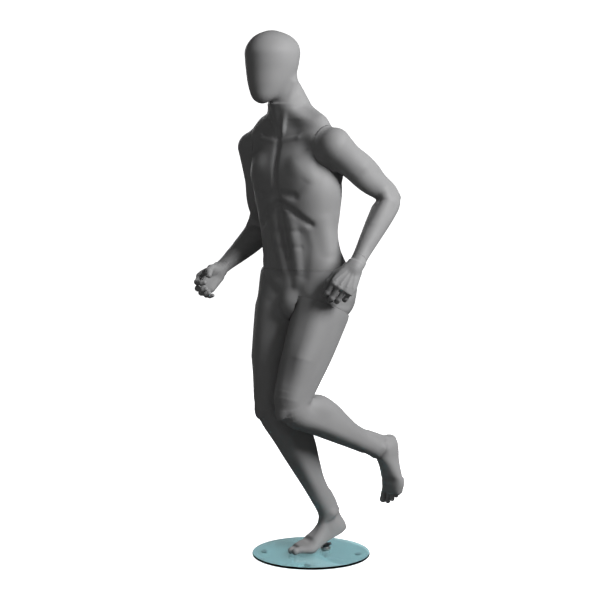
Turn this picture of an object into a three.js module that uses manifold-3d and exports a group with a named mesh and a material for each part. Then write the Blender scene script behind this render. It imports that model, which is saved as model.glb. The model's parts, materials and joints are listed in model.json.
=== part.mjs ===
// Full body running mannequin: hollow fibreglass shells with a faceless egg head, joined at the waist,
// left thigh, shoulders and wrists by studs in sockets, and standing on a round glass base with a foot rod.
// Millimetres, +Z up, front towards -Y, the mannequin's left towards +X. The origin is the centre of
// the base's underside.
import * as THREE from 'three';
import { mergeVertices } from 'three/addons/utils/BufferGeometryUtils.js';
import Module from 'manifold-3d';

const wasm = await Module();
wasm.setup();

const vec = (x, y, z) => new THREE.Vector3(x, y, z);

// ---------------------------------------------------------------- driving dimensions
const BASE_RADIUS = 200;
const GLASS_THICK = 8;
const BUMPER_THICK = 5;
const GLASS_TOP = BUMPER_THICK + GLASS_THICK;
const WALL = 6; // laminate of the shells
const SEAM_GAP = 0.8; // between two shells at a seam
const FIT_GAP = 0.4; // between pieces that touch
const PLATE_THICK = 10; // end plate in a shell's mouth
const LIMB_GAP = 2; // clear space around a limb where it lies close to another shell
const FITTING_AT = vec(6, 60, 0); // foot rod, under the standing foot
const ROD_RADIUS = 5;
const ROD_TOP = 122;
const SOCKET_RADIUS = 8; // tube in the foot that the rod slides into
const SOCKET_LOW = 46;

// Joint centres of the running pose.
const HIP_R = vec(-62, -58, 935);
const KNEE_R = vec(-50, -140, 515);
const ANKLE_R = vec(2, 80, 130.5);
const HIP_L = vec(94, -8, 925);
const KNEE_L = vec(92, -180, 530);
const ANKLE_L = vec(104, 209, 357);
const SHOULDER_R = vec(-159, -107, 1388);
const ELBOW_R = vec(-212, -35, 1098);
const WRIST_R = vec(-172, -262, 974);
const SHOULDER_L = vec(172, -60, 1390);
const ELBOW_L = vec(208, 171, 1217);
const WRIST_L = vec(244, -28, 1000);

// Torso: height, centre x and y, turn in degrees, half width, depth in front of the centre and behind it.
const TORSO = [
  [850, 24, -38, 21, 118, 62, 84],
  [880, 22, -38, 21, 150, 88, 112],
  [920, 20, -39, 21, 157, 96, 116],
  [985, 18, -45, 19, 152, 94, 102],
  [1050, 16, -54, 17, 134, 92, 88],
  [1100, 14, -60, 15, 132, 94, 90],
  [1170, 13, -66, 13, 144, 104, 104],
  [1250, 12, -71, 11, 156, 112, 114],
  [1310, 9, -76, 10, 152, 106, 116],
  [1350, 5, -81, 10, 150, 90, 110],
  [1385, 1, -85, 10, 152, 72, 96],
  [1412, -1, -87, 10, 150, 62, 82],
  [1432, -3, -87, 9, 150, 55, 76],
  [1450, -4, -86, 8, 148, 50, 72],
  [1470, -5, -86, 7, 124, 50, 68],
  [1490, -6, -90, 6, 90, 52, 62],
  [1512, -7, -98, 5, 64, 54, 60],
];
// Limbs: place along the axis (0 to 1 is the first bone, 1 to 2 the second), half width, front, back.
const LEG = [
  [-0.05, 80, 82, 96],
  [0.12, 82, 87, 96],
  [0.32, 78, 85, 93],
  [0.55, 69, 77, 86],
  [0.75, 60, 66, 70],
  [0.9, 54, 60, 58],
  [1, 52, 58, 55],
  [1.1, 51, 48, 62],
  [1.25, 54, 39, 92],
  [1.4, 53, 36, 87],
  [1.58, 44, 33, 63],
  [1.77, 34, 30, 41],
  [1.93, 32, 31, 36],
  [2, 33, 33, 38],
];
const ARM = [
  [0, 58, 58, 58],
  [0.2, 49, 54, 52],
  [0.42, 43, 50, 47],
  [0.65, 39, 45, 43],
  [0.85, 37, 38, 39],
  [1, 39, 34, 37],
  [1.15, 42, 38, 36],
  [1.3, 41, 38, 35],
  [1.6, 33, 31, 29],
  [1.85, 26, 22, 22],
  [2, 27, 20, 20],
];
const NECK = [
  [-0.3, 70, 58, 66],
  [0, 62, 54, 64],
  [0.5, 58, 54, 62],
  [1, 55, 54, 60],
  [1.5, 53, 52, 52],
  [2, 46, 46, 30],
];
// Head: height above the chin, centre forward of the head's axis, half width, half depth.
const HEAD = [
  [0, 42, 12, 12],
  [5, 40, 23, 24],
  [17, 33, 37, 42],
  [40, 21, 51, 62],
  [69, 10, 63, 79],
  [100, 3, 71, 89],
  [136, 0, 77, 95],
  [168, -2, 77, 97],
  [195, -4, 67, 85],
  [215, -3, 49, 62],
  [227, -1, 26, 33],
];
const HEAD_BASE = vec(-8, -160, 1526);
const HEAD_POLE = 5; // crown above the last ring
// Foot: place along the sole (0 heel, 1 ball, 2 toe roots), half width, height above the axis, below it.
const FOOT = [
  [0, 22, 30, 11],
  [0.1, 30, 50, 12],
  [0.25, 33, 74, 12],
  [0.42, 33, 62, 10],
  [0.6, 37, 44, 9],
  [0.8, 43, 33, 11],
  [1, 46, 26, 12],
  [1.5, 46, 22, 12],
  [2, 42, 15, 11],
];
const SOLE_DEPTH = 77; // ankle centre above the sole
const FOOT_AXIS = 12; // foot's axis above the sole
const HEEL_BACK = 28;
const BALL_AHEAD = 124;
const TOE_ROOTS = 30;
// Toes from the big one: across the foot, root ahead of the ball, length, radius.
const TOES = [
  [31, 20, 50, 12.5],
  [11, 25, 47, 9],
  [-6, 20, 43, 8.5],
  [-21, 11, 39, 8],
  [-35, 0, 34, 8],
];
// Palm: place from the wrist, half width, back of the hand, palm side.
const PALM = [
  [-14, 26, 19, 19],
  [12, 29, 18, 19],
  [42, 37, 17, 19],
  [68, 42, 15, 16],
  [86, 41, 12, 12],
];
// Fingers from the index: across the palm, root ahead of the wrist, rise, three bone lengths, radius.
const FINGERS = [
  [30, 80, 1, [40, 25, 18], 9.5],
  [10, 84, 3, [44, 28, 19], 9.8],
  [-11, 80, 2, [41, 26, 19], 9.3],
  [-30, 72, -2, [32, 20, 17], 8.2],
];
const FINGER_TAPER = [1, 1, 0.92, 0.85, 0.78];
// Thumb bones: length, then the bone's direction along the palm, across it and inwards.
const THUMB = [
  [44, 0.72, 0.5, 0.48],
  [30, 0.86, 0.12, 0.5],
  [22, 0.8, -0.12, 0.58],
];
const THUMB_RADII = [15, 12.5, 11, 9.5];

const AXIS_UP = vec(0, 0, 1);
const blend = (a, b, share) => a.clone().lerp(b, share);
const ahead = (point, direction, distance) => point.clone().addScaledVector(direction, distance);
const toward = (from, to) => to.clone().sub(from).normalize();

// ---------------------------------------------------------------- solids
// The library's solid of a closed three.js geometry, with its faces turned out.
function solid(geometry) {
  const bare = geometry.index ? geometry.toNonIndexed() : geometry.clone();
  bare.deleteAttribute('normal');
  bare.deleteAttribute('uv');
  const merged = mergeVertices(bare, 1e-4);
  const index = merged.index.array;
  const made = (turn) => {
    const faces = [];
    for (let i = 0; i < index.length; i += 3) {
      const [a, b, c] = [index[i], index[i + 1], index[i + 2]];
      if (a !== b && b !== c && c !== a) faces.push(...(turn ? [a, c, b] : [a, b, c]));
    }
    return new wasm.Manifold(new wasm.Mesh({
      numProp: 3,
      vertProperties: merged.attributes.position.array,
      triVerts: new Uint32Array(faces),
    }));
  };
  const first = made(false);
  return first.volume() > 0 ? first : made(true);
}

// The three.js geometry of a library solid.
function geometryOf(shape) {
  const mesh = shape.getMesh();
  const geometry = new THREE.BufferGeometry();
  geometry.setAttribute('position', new THREE.BufferAttribute(new Float32Array(mesh.vertProperties), 3));
  geometry.setIndex(new THREE.BufferAttribute(new Uint32Array(mesh.triVerts), 1));
  geometry.computeVertexNormals();
  return geometry;
}

const joined = (shapes) => shapes.reduce((whole, next) => whole.add(next));
const cut = (shape, cutters) => cutters.reduce((whole, next) => whole.subtract(next), shape);

// A solid skin over rings of equal point count, closed at both ends on the mean point or on a given pole.
function skin(rings, startPole, endPole) {
  const sides = rings[0].length;
  const mean = (ring) => ring.reduce((sum, p) => sum.add(p), vec(0, 0, 0)).divideScalar(sides);
  const last = rings.length - 1;
  const points = [...rings.flat(), startPole ?? mean(rings[0]), endPole ?? mean(rings[last])];
  const start = points.length - 2;
  const faces = [];
  for (let k = 0; k < sides; k += 1) {
    const next = (k + 1) % sides;
    faces.push(start, next, k);
    faces.push(start + 1, last * sides + k, last * sides + next);
    for (let r = 0; r < last; r += 1) {
      const low = r * sides;
      const high = low + sides;
      faces.push(low + k, low + next, high + next);
      faces.push(low + k, high + next, high + k);
    }
  }
  const geometry = new THREE.BufferGeometry().setFromPoints(points);
  geometry.setIndex(faces);
  return solid(geometry);
}

// Smooth curve through rows of numbers; the first number of each row is its place.
function through(rows) {
  const places = rows.map((row) => row[0]);
  const values = rows.flatMap((row) => row.slice(1));
  const curve = new THREE.CubicInterpolant(places, values, rows[0].length - 1);
  return (place) => Array.from(curve.evaluate(place));
}

// One ring of a part: an oval with its own depth in front and behind, squared a little by its power.
function oval(centre, side, front, width, fore, aft, sides, power = 2.2) {
  const ring = [];
  for (let k = 0; k < sides; k += 1) {
    const angle = (2 * Math.PI * k) / sides;
    const across = Math.sign(Math.cos(angle)) * Math.abs(Math.cos(angle)) ** (2 / power);
    const along = Math.sign(Math.sin(angle)) * Math.abs(Math.sin(angle)) ** (2 / power);
    const depth = along > 0 ? fore : aft;
    ring.push(centre.clone().addScaledVector(side, width * across).addScaledVector(front, depth * along));
  }
  return ring;
}

const spaced = (from, to, count) => Array.from({ length: count + 1 }, (_, i) => from + ((to - from) * i) / count);

// Place and direction at t on a line through three joints, its corner rounded from `round` mm before the
// middle joint to as much after it. 0 is the first joint, 1 the middle one and 2 the last.
function onLimb([first, middle, last], round, t) {
  const before = round / first.distanceTo(middle);
  const after = round / middle.distanceTo(last);
  if (t <= 1 - before) return [blend(first, middle, t), toward(first, middle)];
  if (t >= 1 + after) return [blend(middle, last, t - 1), toward(middle, last)];
  const share = (t - 1 + before) / (before + after);
  const start = blend(first, middle, 1 - before);
  const end = blend(middle, last, after);
  const low = blend(start, middle, share);
  const high = blend(middle, end, share);
  return [blend(low, high, share), toward(low, high)];
}

// Rings of a bent limb. `flex` is 1 where its front is on the outside of the bend and -1 on the inside.
function limbRings(joints, rows, { places, flex = 1, round = 60, sides = 16, inset = 0 }) {
  const size = through(rows);
  const side = toward(joints[0], joints[1]).cross(toward(joints[1], joints[2])).normalize();
  side.multiplyScalar(flex);
  return places.map((t) => {
    const [centre, direction] = onLimb(joints, round, t);
    const front = direction.clone().cross(side).normalize();
    const [width, fore, aft] = size(t).map((reach) => reach - inset);
    return oval(centre, side, front, width, fore, aft, sides);
  });
}

// A ring shrunk towards its middle and moved, for the round end of a part.
function shrunk(ring, direction, depth) {
  const middle = ring.reduce((sum, p) => sum.add(p), vec(0, 0, 0)).divideScalar(ring.length);
  return [30, 60].map((degrees) => {
    const angle = THREE.MathUtils.degToRad(degrees);
    return ring.map((p) => ahead(blend(middle, p, Math.cos(angle)), direction, depth * Math.sin(angle)));
  }).concat([[ahead(middle, direction, depth)]]);
}

// A skin with a round end before its first ring, after its last ring or both.
function domed(rings, { start = 0, end = 0 }) {
  const all = [...rings];
  const centre = (ring) => ring.reduce((sum, p) => sum.add(p), vec(0, 0, 0)).divideScalar(ring.length);
  let startPole;
  let endPole;
  if (start) {
    const outward = toward(centre(rings[1]), centre(rings[0]));
    const [near, far, pole] = shrunk(rings[0], outward, start);
    all.unshift(far, near);
    [startPole] = pole;
  }
  if (end) {
    const outward = toward(centre(rings.at(-2)), centre(rings.at(-1)));
    const [near, far, pole] = shrunk(rings.at(-1), outward, end);
    all.push(near, far);
    [endPole] = pole;
  }
  return skin(all, startPole, endPole);
}

// A finger or toe through its joints, with a round tip; `side` is across it.
function digit(points, radii, side) {
  const rings = points.map((point, i) => {
    const from = points[Math.max(i - 1, 0)];
    const to = points[Math.min(i + 1, points.length - 1)];
    const front = toward(from, to).cross(side).normalize();
    return oval(point, side, front, radii[i], radii[i], radii[i], 8, 2);
  });
  return domed(rings, { end: radii.at(-1) * 0.9 });
}

// A geometry moved so that its +Z points along `normal` from `point`.
function turned(geometry, point, normal) {
  geometry.applyQuaternion(new THREE.Quaternion().setFromUnitVectors(AXIS_UP, normal));
  return geometry.translate(point.x, point.y, point.z);
}

// A turned piece from its profile of radius and height, standing on `point` along `normal`.
function lathe(profile, point, normal, segments = 24) {
  const geometry = new THREE.LatheGeometry(profile.map(([r, h]) => new THREE.Vector2(r, h)), segments);
  geometry.rotateX(Math.PI / 2);
  return solid(turned(geometry, point, normal));
}

const disc = (radius, thick, point, normal, segments) => lathe(
  [[0, 0], [radius, 0], [radius, thick], [0, thick]], point, normal, segments,
);

// ---------------------------------------------------------------- body shapes
// Torso rings between two heights, each level and turned with the spine.
function torsoRings(heights, inset = 0, sides = 26) {
  const size = through(TORSO);
  return heights.map((z) => {
    const [x, y, degrees, width, fore, aft] = size(z);
    const turn = THREE.MathUtils.degToRad(degrees);
    const side = vec(Math.cos(turn), Math.sin(turn), 0);
    const front = vec(Math.sin(turn), -Math.cos(turn), 0);
    return oval(vec(x, y, z), side, front, width - inset, fore - inset, aft - inset, sides, 2.3);
  });
}

// A point of the torso from its place across (left), in front of the spine and its height.
function onTorso(across, forward, z) {
  const [x, y, degrees] = through(TORSO)(z);
  const turn = THREE.MathUtils.degToRad(degrees);
  return vec(
    x + across * Math.cos(turn) + forward * Math.sin(turn),
    y + across * Math.sin(turn) - forward * Math.cos(turn),
    z,
  );
}

// A muscle: a squashed ball on the torso.
function muscle(across, forward, z, [width, depth, height]) {
  const ball = new THREE.SphereGeometry(1, 14, 9).scale(width, depth, height);
  const turn = THREE.MathUtils.degToRad(through(TORSO)(z)[2]);
  ball.rotateZ(turn);
  const centre = onTorso(across, forward, z);
  return solid(ball.translate(centre.x, centre.y, centre.z));
}

const NECK_JOINTS = [vec(-5, -78, 1450), vec(-6, -98, 1510), vec(-7, -120, 1602)];

function neck(inset = 0, sides = 18) {
  const rings = limbRings(NECK_JOINTS, NECK, { places: spaced(-0.3, 2, 6), flex: 1, round: 30, sides, inset });
  return skin(rings);
}

function head(inset = 0, sides = 20) {
  const rings = HEAD.slice(inset ? 3 : 0).map(([height, forward, width, depth]) => oval(
    vec(HEAD_BASE.x, HEAD_BASE.y - forward, HEAD_BASE.z + height - inset * (height > 190)),
    vec(1, 0, 0), vec(0, -1, 0), width - inset, depth - inset, depth - inset, sides, 2,
  ));
  const crown = vec(HEAD_BASE.x, HEAD_BASE.y, HEAD_BASE.z + HEAD.at(-1)[0] + HEAD_POLE - inset);
  const chin = vec(HEAD_BASE.x, HEAD_BASE.y - HEAD[0][1], HEAD_BASE.z - 2);
  return skin(rings, inset ? undefined : chin, crown);
}

const LEG_PLACES = [-0.05, 0.06, 0.18, 0.3, 0.42, 0.54, 0.66, 0.77, 0.86, 0.93, 1, 1.07, 1.14, 1.22, 1.31, 1.41,
  1.52, 1.64, 1.76, 1.88, 2, 2.04];
const LEG_CORE = [-0.05, 0.15, 0.35, 0.6, 0.85, 1, 1.12, 1.3, 1.55, 1.72];
const ARM_PLACES = [0, 0.16, 0.32, 0.48, 0.64, 0.78, 0.89, 1, 1.1, 1.22, 1.36, 1.52, 1.68, 1.84, 2.02];
const ARM_CORE = [-0.04, 0.3, 0.7, 0.9, 1.05, 1.3, 1.6, 2];

// The part of a list of places that a stump needs.
const stump = (places, end) => places.filter((place) => place <= end);
const LEG_STUMP = stump(LEG_PLACES, 0.31);
const LEG_CORE_STUMP = stump(LEG_CORE, 0.36);
const ARM_STUMP = stump(ARM_PLACES, 0.5);
const ARM_CORE_STUMP = stump(ARM_CORE, 0.31);

// A leg or an arm, solid, its hollow core, and the space that it needs clear of its neighbours.
const leg = (joints, places = LEG_PLACES, spare = 0) => domed(
  limbRings(joints, LEG, { places, round: 75, sides: 20, inset: -spare }), { start: 40 + spare },
);
const arm = (joints, places = ARM_PLACES, spare = 0) => domed(
  limbRings(joints, ARM, { places, flex: -1, round: 45, sides: 16, inset: -spare }), { start: 50 + spare },
);
// A core's first place, moved by as much as its inset exceeds the wall, so that a plate clears its end too.
const laterStart = ([first, ...rest], joints, inset) => [
  first + (inset - WALL) / joints[0].distanceTo(joints[1]), ...rest,
];
const legCore = (joints, inset, places = LEG_CORE) => skin(
  limbRings(joints, LEG, { places: laterStart(places, joints, inset), round: 75, sides: 12, inset }),
);
const armCore = (joints, inset, places = ARM_CORE) => skin(
  limbRings(joints, ARM, { places: laterStart(places, joints, inset), flex: -1, round: 45, sides: 10, inset }),
);

const LEFT = 1;
const RIGHT = -1;

// A foot from its ankle, the direction of its sole, where its top faces and the direction of its toes.
function foot(ankle, sole, top, toes, handed) {
  const medial = sole.clone().cross(top).normalize().multiplyScalar(handed);
  const across = (direction) => direction.clone().cross(medial).normalize().multiplyScalar(-handed);
  const up = across(sole);
  const place = (forward) => ahead(ahead(ankle, sole, forward), up, FOOT_AXIS - SOLE_DEPTH);
  const joints = [place(-HEEL_BACK), place(BALL_AHEAD), ahead(place(BALL_AHEAD), toes, TOE_ROOTS)];
  const size = through(FOOT);
  const rings = [0, 0.1, 0.22, 0.36, 0.5, 0.65, 0.8, 0.93, 1.1, 1.5, 2].map((t) => {
    const [centre, direction] = onLimb(joints, 25, t);
    const [width, above, below] = size(t);
    return oval(centre, medial, across(direction), width, above, below, 18, 2.4);
  });
  const tips = TOES.map(([offset, root, length, radius]) => {
    const at = (along, rise) => ahead(ahead(ahead(joints[1], medial, offset), toes, root + along), across(toes), rise);
    const low = radius - FOOT_AXIS;
    const points = [at(-8, low + 2), at(length * 0.45, low + 3), at(length - radius * 0.9, low)];
    return digit(points, [radius, radius * 0.92, radius * 0.95], medial);
  });
  return joined([domed(rings, { start: 14, end: 8 }), ...tips]);
}

// A hand from its wrist, the direction of its knuckles, where its palm faces and how far its fingers curl.
function hand(wrist, knuckles, palm, curl, handed) {
  const facing = palm.clone().addScaledVector(knuckles, -palm.dot(knuckles)).normalize();
  const back = facing.clone().negate();
  const thumbSide = facing.clone().cross(knuckles).multiplyScalar(handed);
  const at = (along, across, inward) => ahead(
    ahead(ahead(wrist, knuckles, along), thumbSide, across), facing, inward,
  );
  const size = through(PALM);
  const rings = [-14, 8, 30, 50, 70, 86].map((along) => {
    const [width, outer, inner] = size(along);
    return oval(at(along, 0, 0), thumbSide, back, width, outer, inner, 16, 2.5);
  });
  const fingers = FINGERS.map(([across, root, rise, lengths, radius]) => {
    const points = [at(root - 16, across, -rise), at(root, across, -rise)];
    let angle = 0;
    lengths.forEach((length, bone) => {
      angle += THREE.MathUtils.degToRad(curl[bone]);
      const way = knuckles.clone().multiplyScalar(Math.cos(angle)).addScaledVector(facing, Math.sin(angle));
      points.push(ahead(points.at(-1), way, bone === 2 ? length - radius * 0.7 : length));
    });
    return digit(points, FINGER_TAPER.map((share) => share * radius), thumbSide);
  });
  const thumb = [at(14, 18, 6)];
  THUMB.forEach(([length, along, across, inward]) => {
    const way = toward(wrist, at(along, across, inward));
    thumb.push(ahead(thumb.at(-1), way, length));
  });
  const thumbAxis = toward(thumb[0], thumb[1]).cross(toward(thumb[1], thumb[3])).normalize();
  return joined([domed(rings, { start: 6, end: 7 }), ...fingers, digit(thumb, THUMB_RADII, thumbAxis)]);
}

// ---------------------------------------------------------------- seams
// A seam: a point on its plane, the direction from the body that stays to the piece that comes off, how far
// a block that cuts there reaches to each side, deep and across, and the axis of its fitting.
const seam = (point, normal, reach, depth, shift = 0, centre = point) => (
  { point, normal, reach, depth, shift, centre }
);
const WAIST = seam(vec(18, -45, 984), AXIS_UP, 300, 300);
const THIGH_DOWN = toward(HIP_L, KNEE_L);
const THIGH = seam(ahead(HIP_L, THIGH_DOWN, 68), THIGH_DOWN, 150, 200, 64);
const ARM_SEAM_IN = 36; // shoulder seam from the shoulder's centre
const ARM_STUD_DOWN = 32; // shoulder stud from there, down the arm
function shoulderSeam(shoulder, elbow, handed) {
  const turn = THREE.MathUtils.degToRad(10);
  const normal = vec(handed * Math.cos(turn), handed * Math.sin(turn), 0);
  const point = ahead(shoulder, normal, -ARM_SEAM_IN);
  const down = toward(shoulder, elbow).projectOnPlane(normal).normalize();
  return seam(point, normal, 200, 130, 0, ahead(point, down, ARM_STUD_DOWN));
}
const WRIST_PLACE = 0.87; // wrist seam along the forearm
const wristSeam = (elbow, wrist) => seam(blend(elbow, wrist, WRIST_PLACE), toward(elbow, wrist), 60, 80);
const SHOULDERS = {
  right: shoulderSeam(SHOULDER_R, ELBOW_R, RIGHT),
  left: shoulderSeam(SHOULDER_L, ELBOW_L, LEFT),
};
const WRISTS = { right: wristSeam(ELBOW_R, WRIST_R), left: wristSeam(ELBOW_L, WRIST_L) };

// A block between two distances from a seam, measured along its normal.
function slab({ point, normal, reach, shift }, from, to) {
  const block = new THREE.BoxGeometry(2 * reach, 2 * reach, to - from).translate(shift, 0, (from + to) / 2);
  return solid(turned(block, point, normal));
}
// What lies past a seam, or before it, with half of the gap between the shells taken off too.
const pastSeam = (at) => slab(at, -SEAM_GAP / 2, at.depth);
const beforeSeam = (at) => slab(at, -at.depth, SEAM_GAP / 2);

// ---------------------------------------------------------------- fittings of the seams
// Radius of the stud, radius and depth of its cup, and sides of both.
const WAIST_FIT = { stud: 24, cup: 30, depth: 60, sides: 24 };
const THIGH_FIT = { stud: 17, cup: 22, depth: 32, sides: 20 };
const SHOULDER_FIT = { stud: 11, cup: 15, depth: 38, sides: 16 };
const WRIST_FIT = { stud: 5, cup: 8, depth: 22, sides: 12 };
const FLANGE_THICK = 3; // lip of a cup, let into its plate
const FLANGE_WIDE = 4;
const PLATE_RECESS = 1.4; // face of a plate from the seam
const PLATE_BACK = PLATE_RECESS + PLATE_THICK;
const NUT_THICK = 5;
const NUT_WIDER = 1.2; // radius of a nut to that of its stud
const STUD_NECK = 0.65; // radius of a stud's neck to that of its head

// A turned piece of a fitting, its heights along a seam's normal or against it.
const alongSeam = ({ centre, normal }, profile, sides) => lathe(profile, centre, normal, sides);
const againstSeam = ({ centre, normal }, profile, sides) => lathe(profile, centre, normal.clone().negate(), sides);

// A flanged cup in the plate that stays, open at the seam and closed at its foot.
function cup(at, { stud: inner, cup: outer, depth, sides }) {
  const bore = inner + FIT_GAP;
  const lip = PLATE_RECESS + FLANGE_THICK;
  return againstSeam(at, [
    [bore, PLATE_RECESS], [outer + FLANGE_WIDE, PLATE_RECESS], [outer + FLANGE_WIDE, lip], [outer, lip],
    [outer, depth + FLANGE_THICK], [0, depth + FLANGE_THICK], [0, depth], [bore, depth], [bore, PLATE_RECESS],
  ], sides);
}
// The room that a cup needs in its plate and shell.
function cupSpace(at, { cup: outer, depth, sides }) {
  const lip = PLATE_RECESS + FLANGE_THICK + FIT_GAP;
  const wide = outer + FLANGE_WIDE + FIT_GAP;
  const foot = depth + FLANGE_THICK + FIT_GAP;
  return againstSeam(at, [
    [0, 0], [wide, 0], [wide, lip], [outer + FIT_GAP, lip], [outer + FIT_GAP, foot], [0, foot],
  ], sides);
}
// A stud on the piece that comes off: its head in the cup, a neck through the plate and a nut behind it.
function stud(at, { stud: head, depth, sides }) {
  const tip = 2 - depth;
  const shoulder = PLATE_RECESS - FIT_GAP;
  const neckRadius = head * STUD_NECK;
  const back = PLATE_BACK + FIT_GAP;
  return alongSeam(at, [
    [0, tip], [head - 2, tip], [head, tip + 2], [head, shoulder], [neckRadius, shoulder], [neckRadius, back],
    [head * NUT_WIDER, back], [head * NUT_WIDER, back + NUT_THICK], [0, back + NUT_THICK],
  ], sides);
}
// The room that a stud needs in its plate and shell.
function studSpace(at, { stud: head, sides }) {
  const neckRadius = head * STUD_NECK + FIT_GAP;
  const nutRadius = head * NUT_WIDER + FIT_GAP;
  const end = PLATE_BACK + NUT_THICK + 2 * FIT_GAP;
  return alongSeam(at, [
    [0, -1], [head + FIT_GAP, -1], [head + FIT_GAP, PLATE_RECESS], [neckRadius, PLATE_RECESS],
    [neckRadius, PLATE_BACK], [nutRadius, PLATE_BACK], [nutRadius, end], [0, end],
  ], sides);
}
// The plates in a seam's two mouths, each from the core of its own shell.
const stayingPlate = (at, core, fit) => slab(at, -PLATE_BACK, -PLATE_RECESS).intersect(core).subtract(
  cupSpace(at, fit),
);
const looseFace = (at, core, fit) => slab(at, PLATE_RECESS, PLATE_BACK).intersect(core).subtract(
  studSpace(at, fit),
);

// ---------------------------------------------------------------- scene graph
const COLOUR = { body: '#6f6f70', steel: '#a9abad', darkSteel: '#3c3f42', wood: '#b58b5c', rubber: '#1c1c1d' };
const FINISH = {
  shell: { color: COLOUR.body, roughness: 0.62, metalness: 0 },
  steel: { color: COLOUR.steel, roughness: 0.3, metalness: 1 },
  darkSteel: { color: COLOUR.darkSteel, roughness: 0.4, metalness: 1 },
  plywood: { color: COLOUR.wood, roughness: 0.75, metalness: 0 },
  rubber: { color: COLOUR.rubber, roughness: 0.85, metalness: 0 },
  glass: { color: '#8fb6ba', roughness: 0.05, metalness: 0, transparent: true, opacity: 0.55 },
};
const mannequin = new THREE.Group();

function add(name, shape, finish) {
  const mesh = new THREE.Mesh(geometryOf(shape), new THREE.MeshStandardMaterial(FINISH[finish]));
  mesh.name = name;
  mannequin.add(mesh);
}

// ---------------------------------------------------------------- shells
const legR = [HIP_R, KNEE_R, ANKLE_R];
const legL = [HIP_L, KNEE_L, ANKLE_L];
const armR = [SHOULDER_R, ELBOW_R, WRIST_R];
const armL = [SHOULDER_L, ELBOW_L, WRIST_L];
const way = (x, y, z) => vec(x, y, z).normalize();

const standingFoot = foot(ANKLE_R, way(-0.13, -0.924, -0.36), AXIS_UP, way(-0.3, -0.954, 0), RIGHT);
const raisedFoot = foot(ANKLE_L, way(0.12, -0.03, -0.985), vec(0, -1, 0), way(-0.06, -0.2, -0.975), LEFT);
const UPPER_HEIGHTS = [960, 1000, 1040, 1080, 1120, 1160, 1195, 1230, 1262, 1290, 1315, 1340, 1362, 1382, 1402,
  1420, 1436, 1450, 1468, 1488, 1512];
const UPPER_CORE = [940, 1050, 1100, 1170, 1250, 1310, 1350, 1385, 1410, 1430, 1450, 1480];
const LOWER_HEIGHTS = [850, 880, 905, 935, 965, 1010];
const LOWER_CORE = [880, 935, 1030];

const chest = [-1, 1].map((side) => muscle(side * 60, 33, 1288, [76, 80, 70]));
const yoke = [-1, 1].map((side) => muscle(side * 110, -4, 1396, [66, 60, 60]));
const torso = joined([skin(torsoRings(UPPER_HEIGHTS)), ...chest, ...yoke, neck(), head()]);
const glutes = [-1, 1].map((side) => muscle(side * 66, -52, 890, [78, 80, 84]));
const bulge = muscle(-12, 56, 866, [56, 56, 58]);
const pelvis = joined([domed(torsoRings(LOWER_HEIGHTS), { start: 30 }), ...glutes, bulge]);

// The hollows: `inset` is the wall, or a little more for what fits inside the wall.
const upperCore = (inset) => joined([
  skin(torsoRings(UPPER_CORE, inset, 16)), neck(inset, 12), head(inset, 14),
  armCore(armR, inset, ARM_CORE_STUMP), armCore(armL, inset, ARM_CORE_STUMP),
]);
const lowerCore = (inset) => joined([
  skin(torsoRings(LOWER_CORE, inset, 16)), legCore(legR, inset), legCore(legL, inset, LEG_CORE_STUMP),
]);

const armStumps = [armR, armL].map((joints) => arm(joints, ARM_STUMP));
add('upper_body_shell', cut(joined([torso, ...armStumps]), [
  upperCore(WALL), beforeSeam(WAIST), ...Object.values(SHOULDERS).map((at) => cupSpace(at, SHOULDER_FIT)),
  arm(armR, ARM_PLACES, LIMB_GAP).intersect(pastSeam(SHOULDERS.right)),
  arm(armL, ARM_PLACES, LIMB_GAP).intersect(pastSeam(SHOULDERS.left)),
]), 'shell');

add('lower_body_shell', cut(joined([pelvis, leg(legL, LEG_STUMP), leg(legR), standingFoot]), [
  lowerCore(WALL), pastSeam(WAIST), leg(legL, LEG_PLACES, LIMB_GAP).intersect(pastSeam(THIGH)),
  disc(SOCKET_RADIUS + FIT_GAP, ROD_TOP + 5 + FIT_GAP, FITTING_AT, AXIS_UP, 24),
]), 'shell');

add('left_leg_shell', cut(joined([leg(legL), raisedFoot]), [
  legCore(legL, WALL), beforeSeam(THIGH), leg(legR, LEG_PLACES, LIMB_GAP),
]), 'shell');

const palms = {
  right: hand(WRIST_R, toward(ELBOW_R, WRIST_R), vec(1, 0.1, 0), [28, 50, 30], RIGHT),
  left: hand(WRIST_L, way(-0.035, -0.607, -0.793), vec(-0.836, 0.454, -0.309), [36, 55, 30], LEFT),
};
const ARMS = { right: armR, left: armL };
Object.entries(ARMS).forEach(([side, joints]) => {
  const whole = arm(joints);
  const wristEnd = joined([whole.intersect(pastSeam(WRISTS[side])), palms[side]]);
  add(`${side}_arm_shell`, cut(whole, [
    armCore(joints, WALL), beforeSeam(SHOULDERS[side]), pastSeam(WRISTS[side]),
    studSpace(SHOULDERS[side], SHOULDER_FIT),
  ]), 'shell');
  add(`${side}_hand`, cut(wristEnd, [beforeSeam(WRISTS[side]), studSpace(WRISTS[side], WRIST_FIT)]), 'shell');
});

// ---------------------------------------------------------------- plates, cups and studs
const CORE_FIT = WALL + FIT_GAP;
const upperFit = upperCore(CORE_FIT);
const lowerFit = lowerCore(CORE_FIT);
const MOUTH_COVER = 14; // how far a shoulder's staying plate reaches past the arm's outline

function fitSeam(name, at, fit, stays, comes) {
  add(`${name}_plate_fixed`, stayingPlate(at, stays, fit), 'plywood');
  if (comes) add(`${name}_plate_loose`, looseFace(at, comes, fit), 'plywood');
  add(`${name}_cup`, cup(at, fit), 'steel');
  add(`${name}_stud`, stud(at, fit), 'steel');
}

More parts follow.
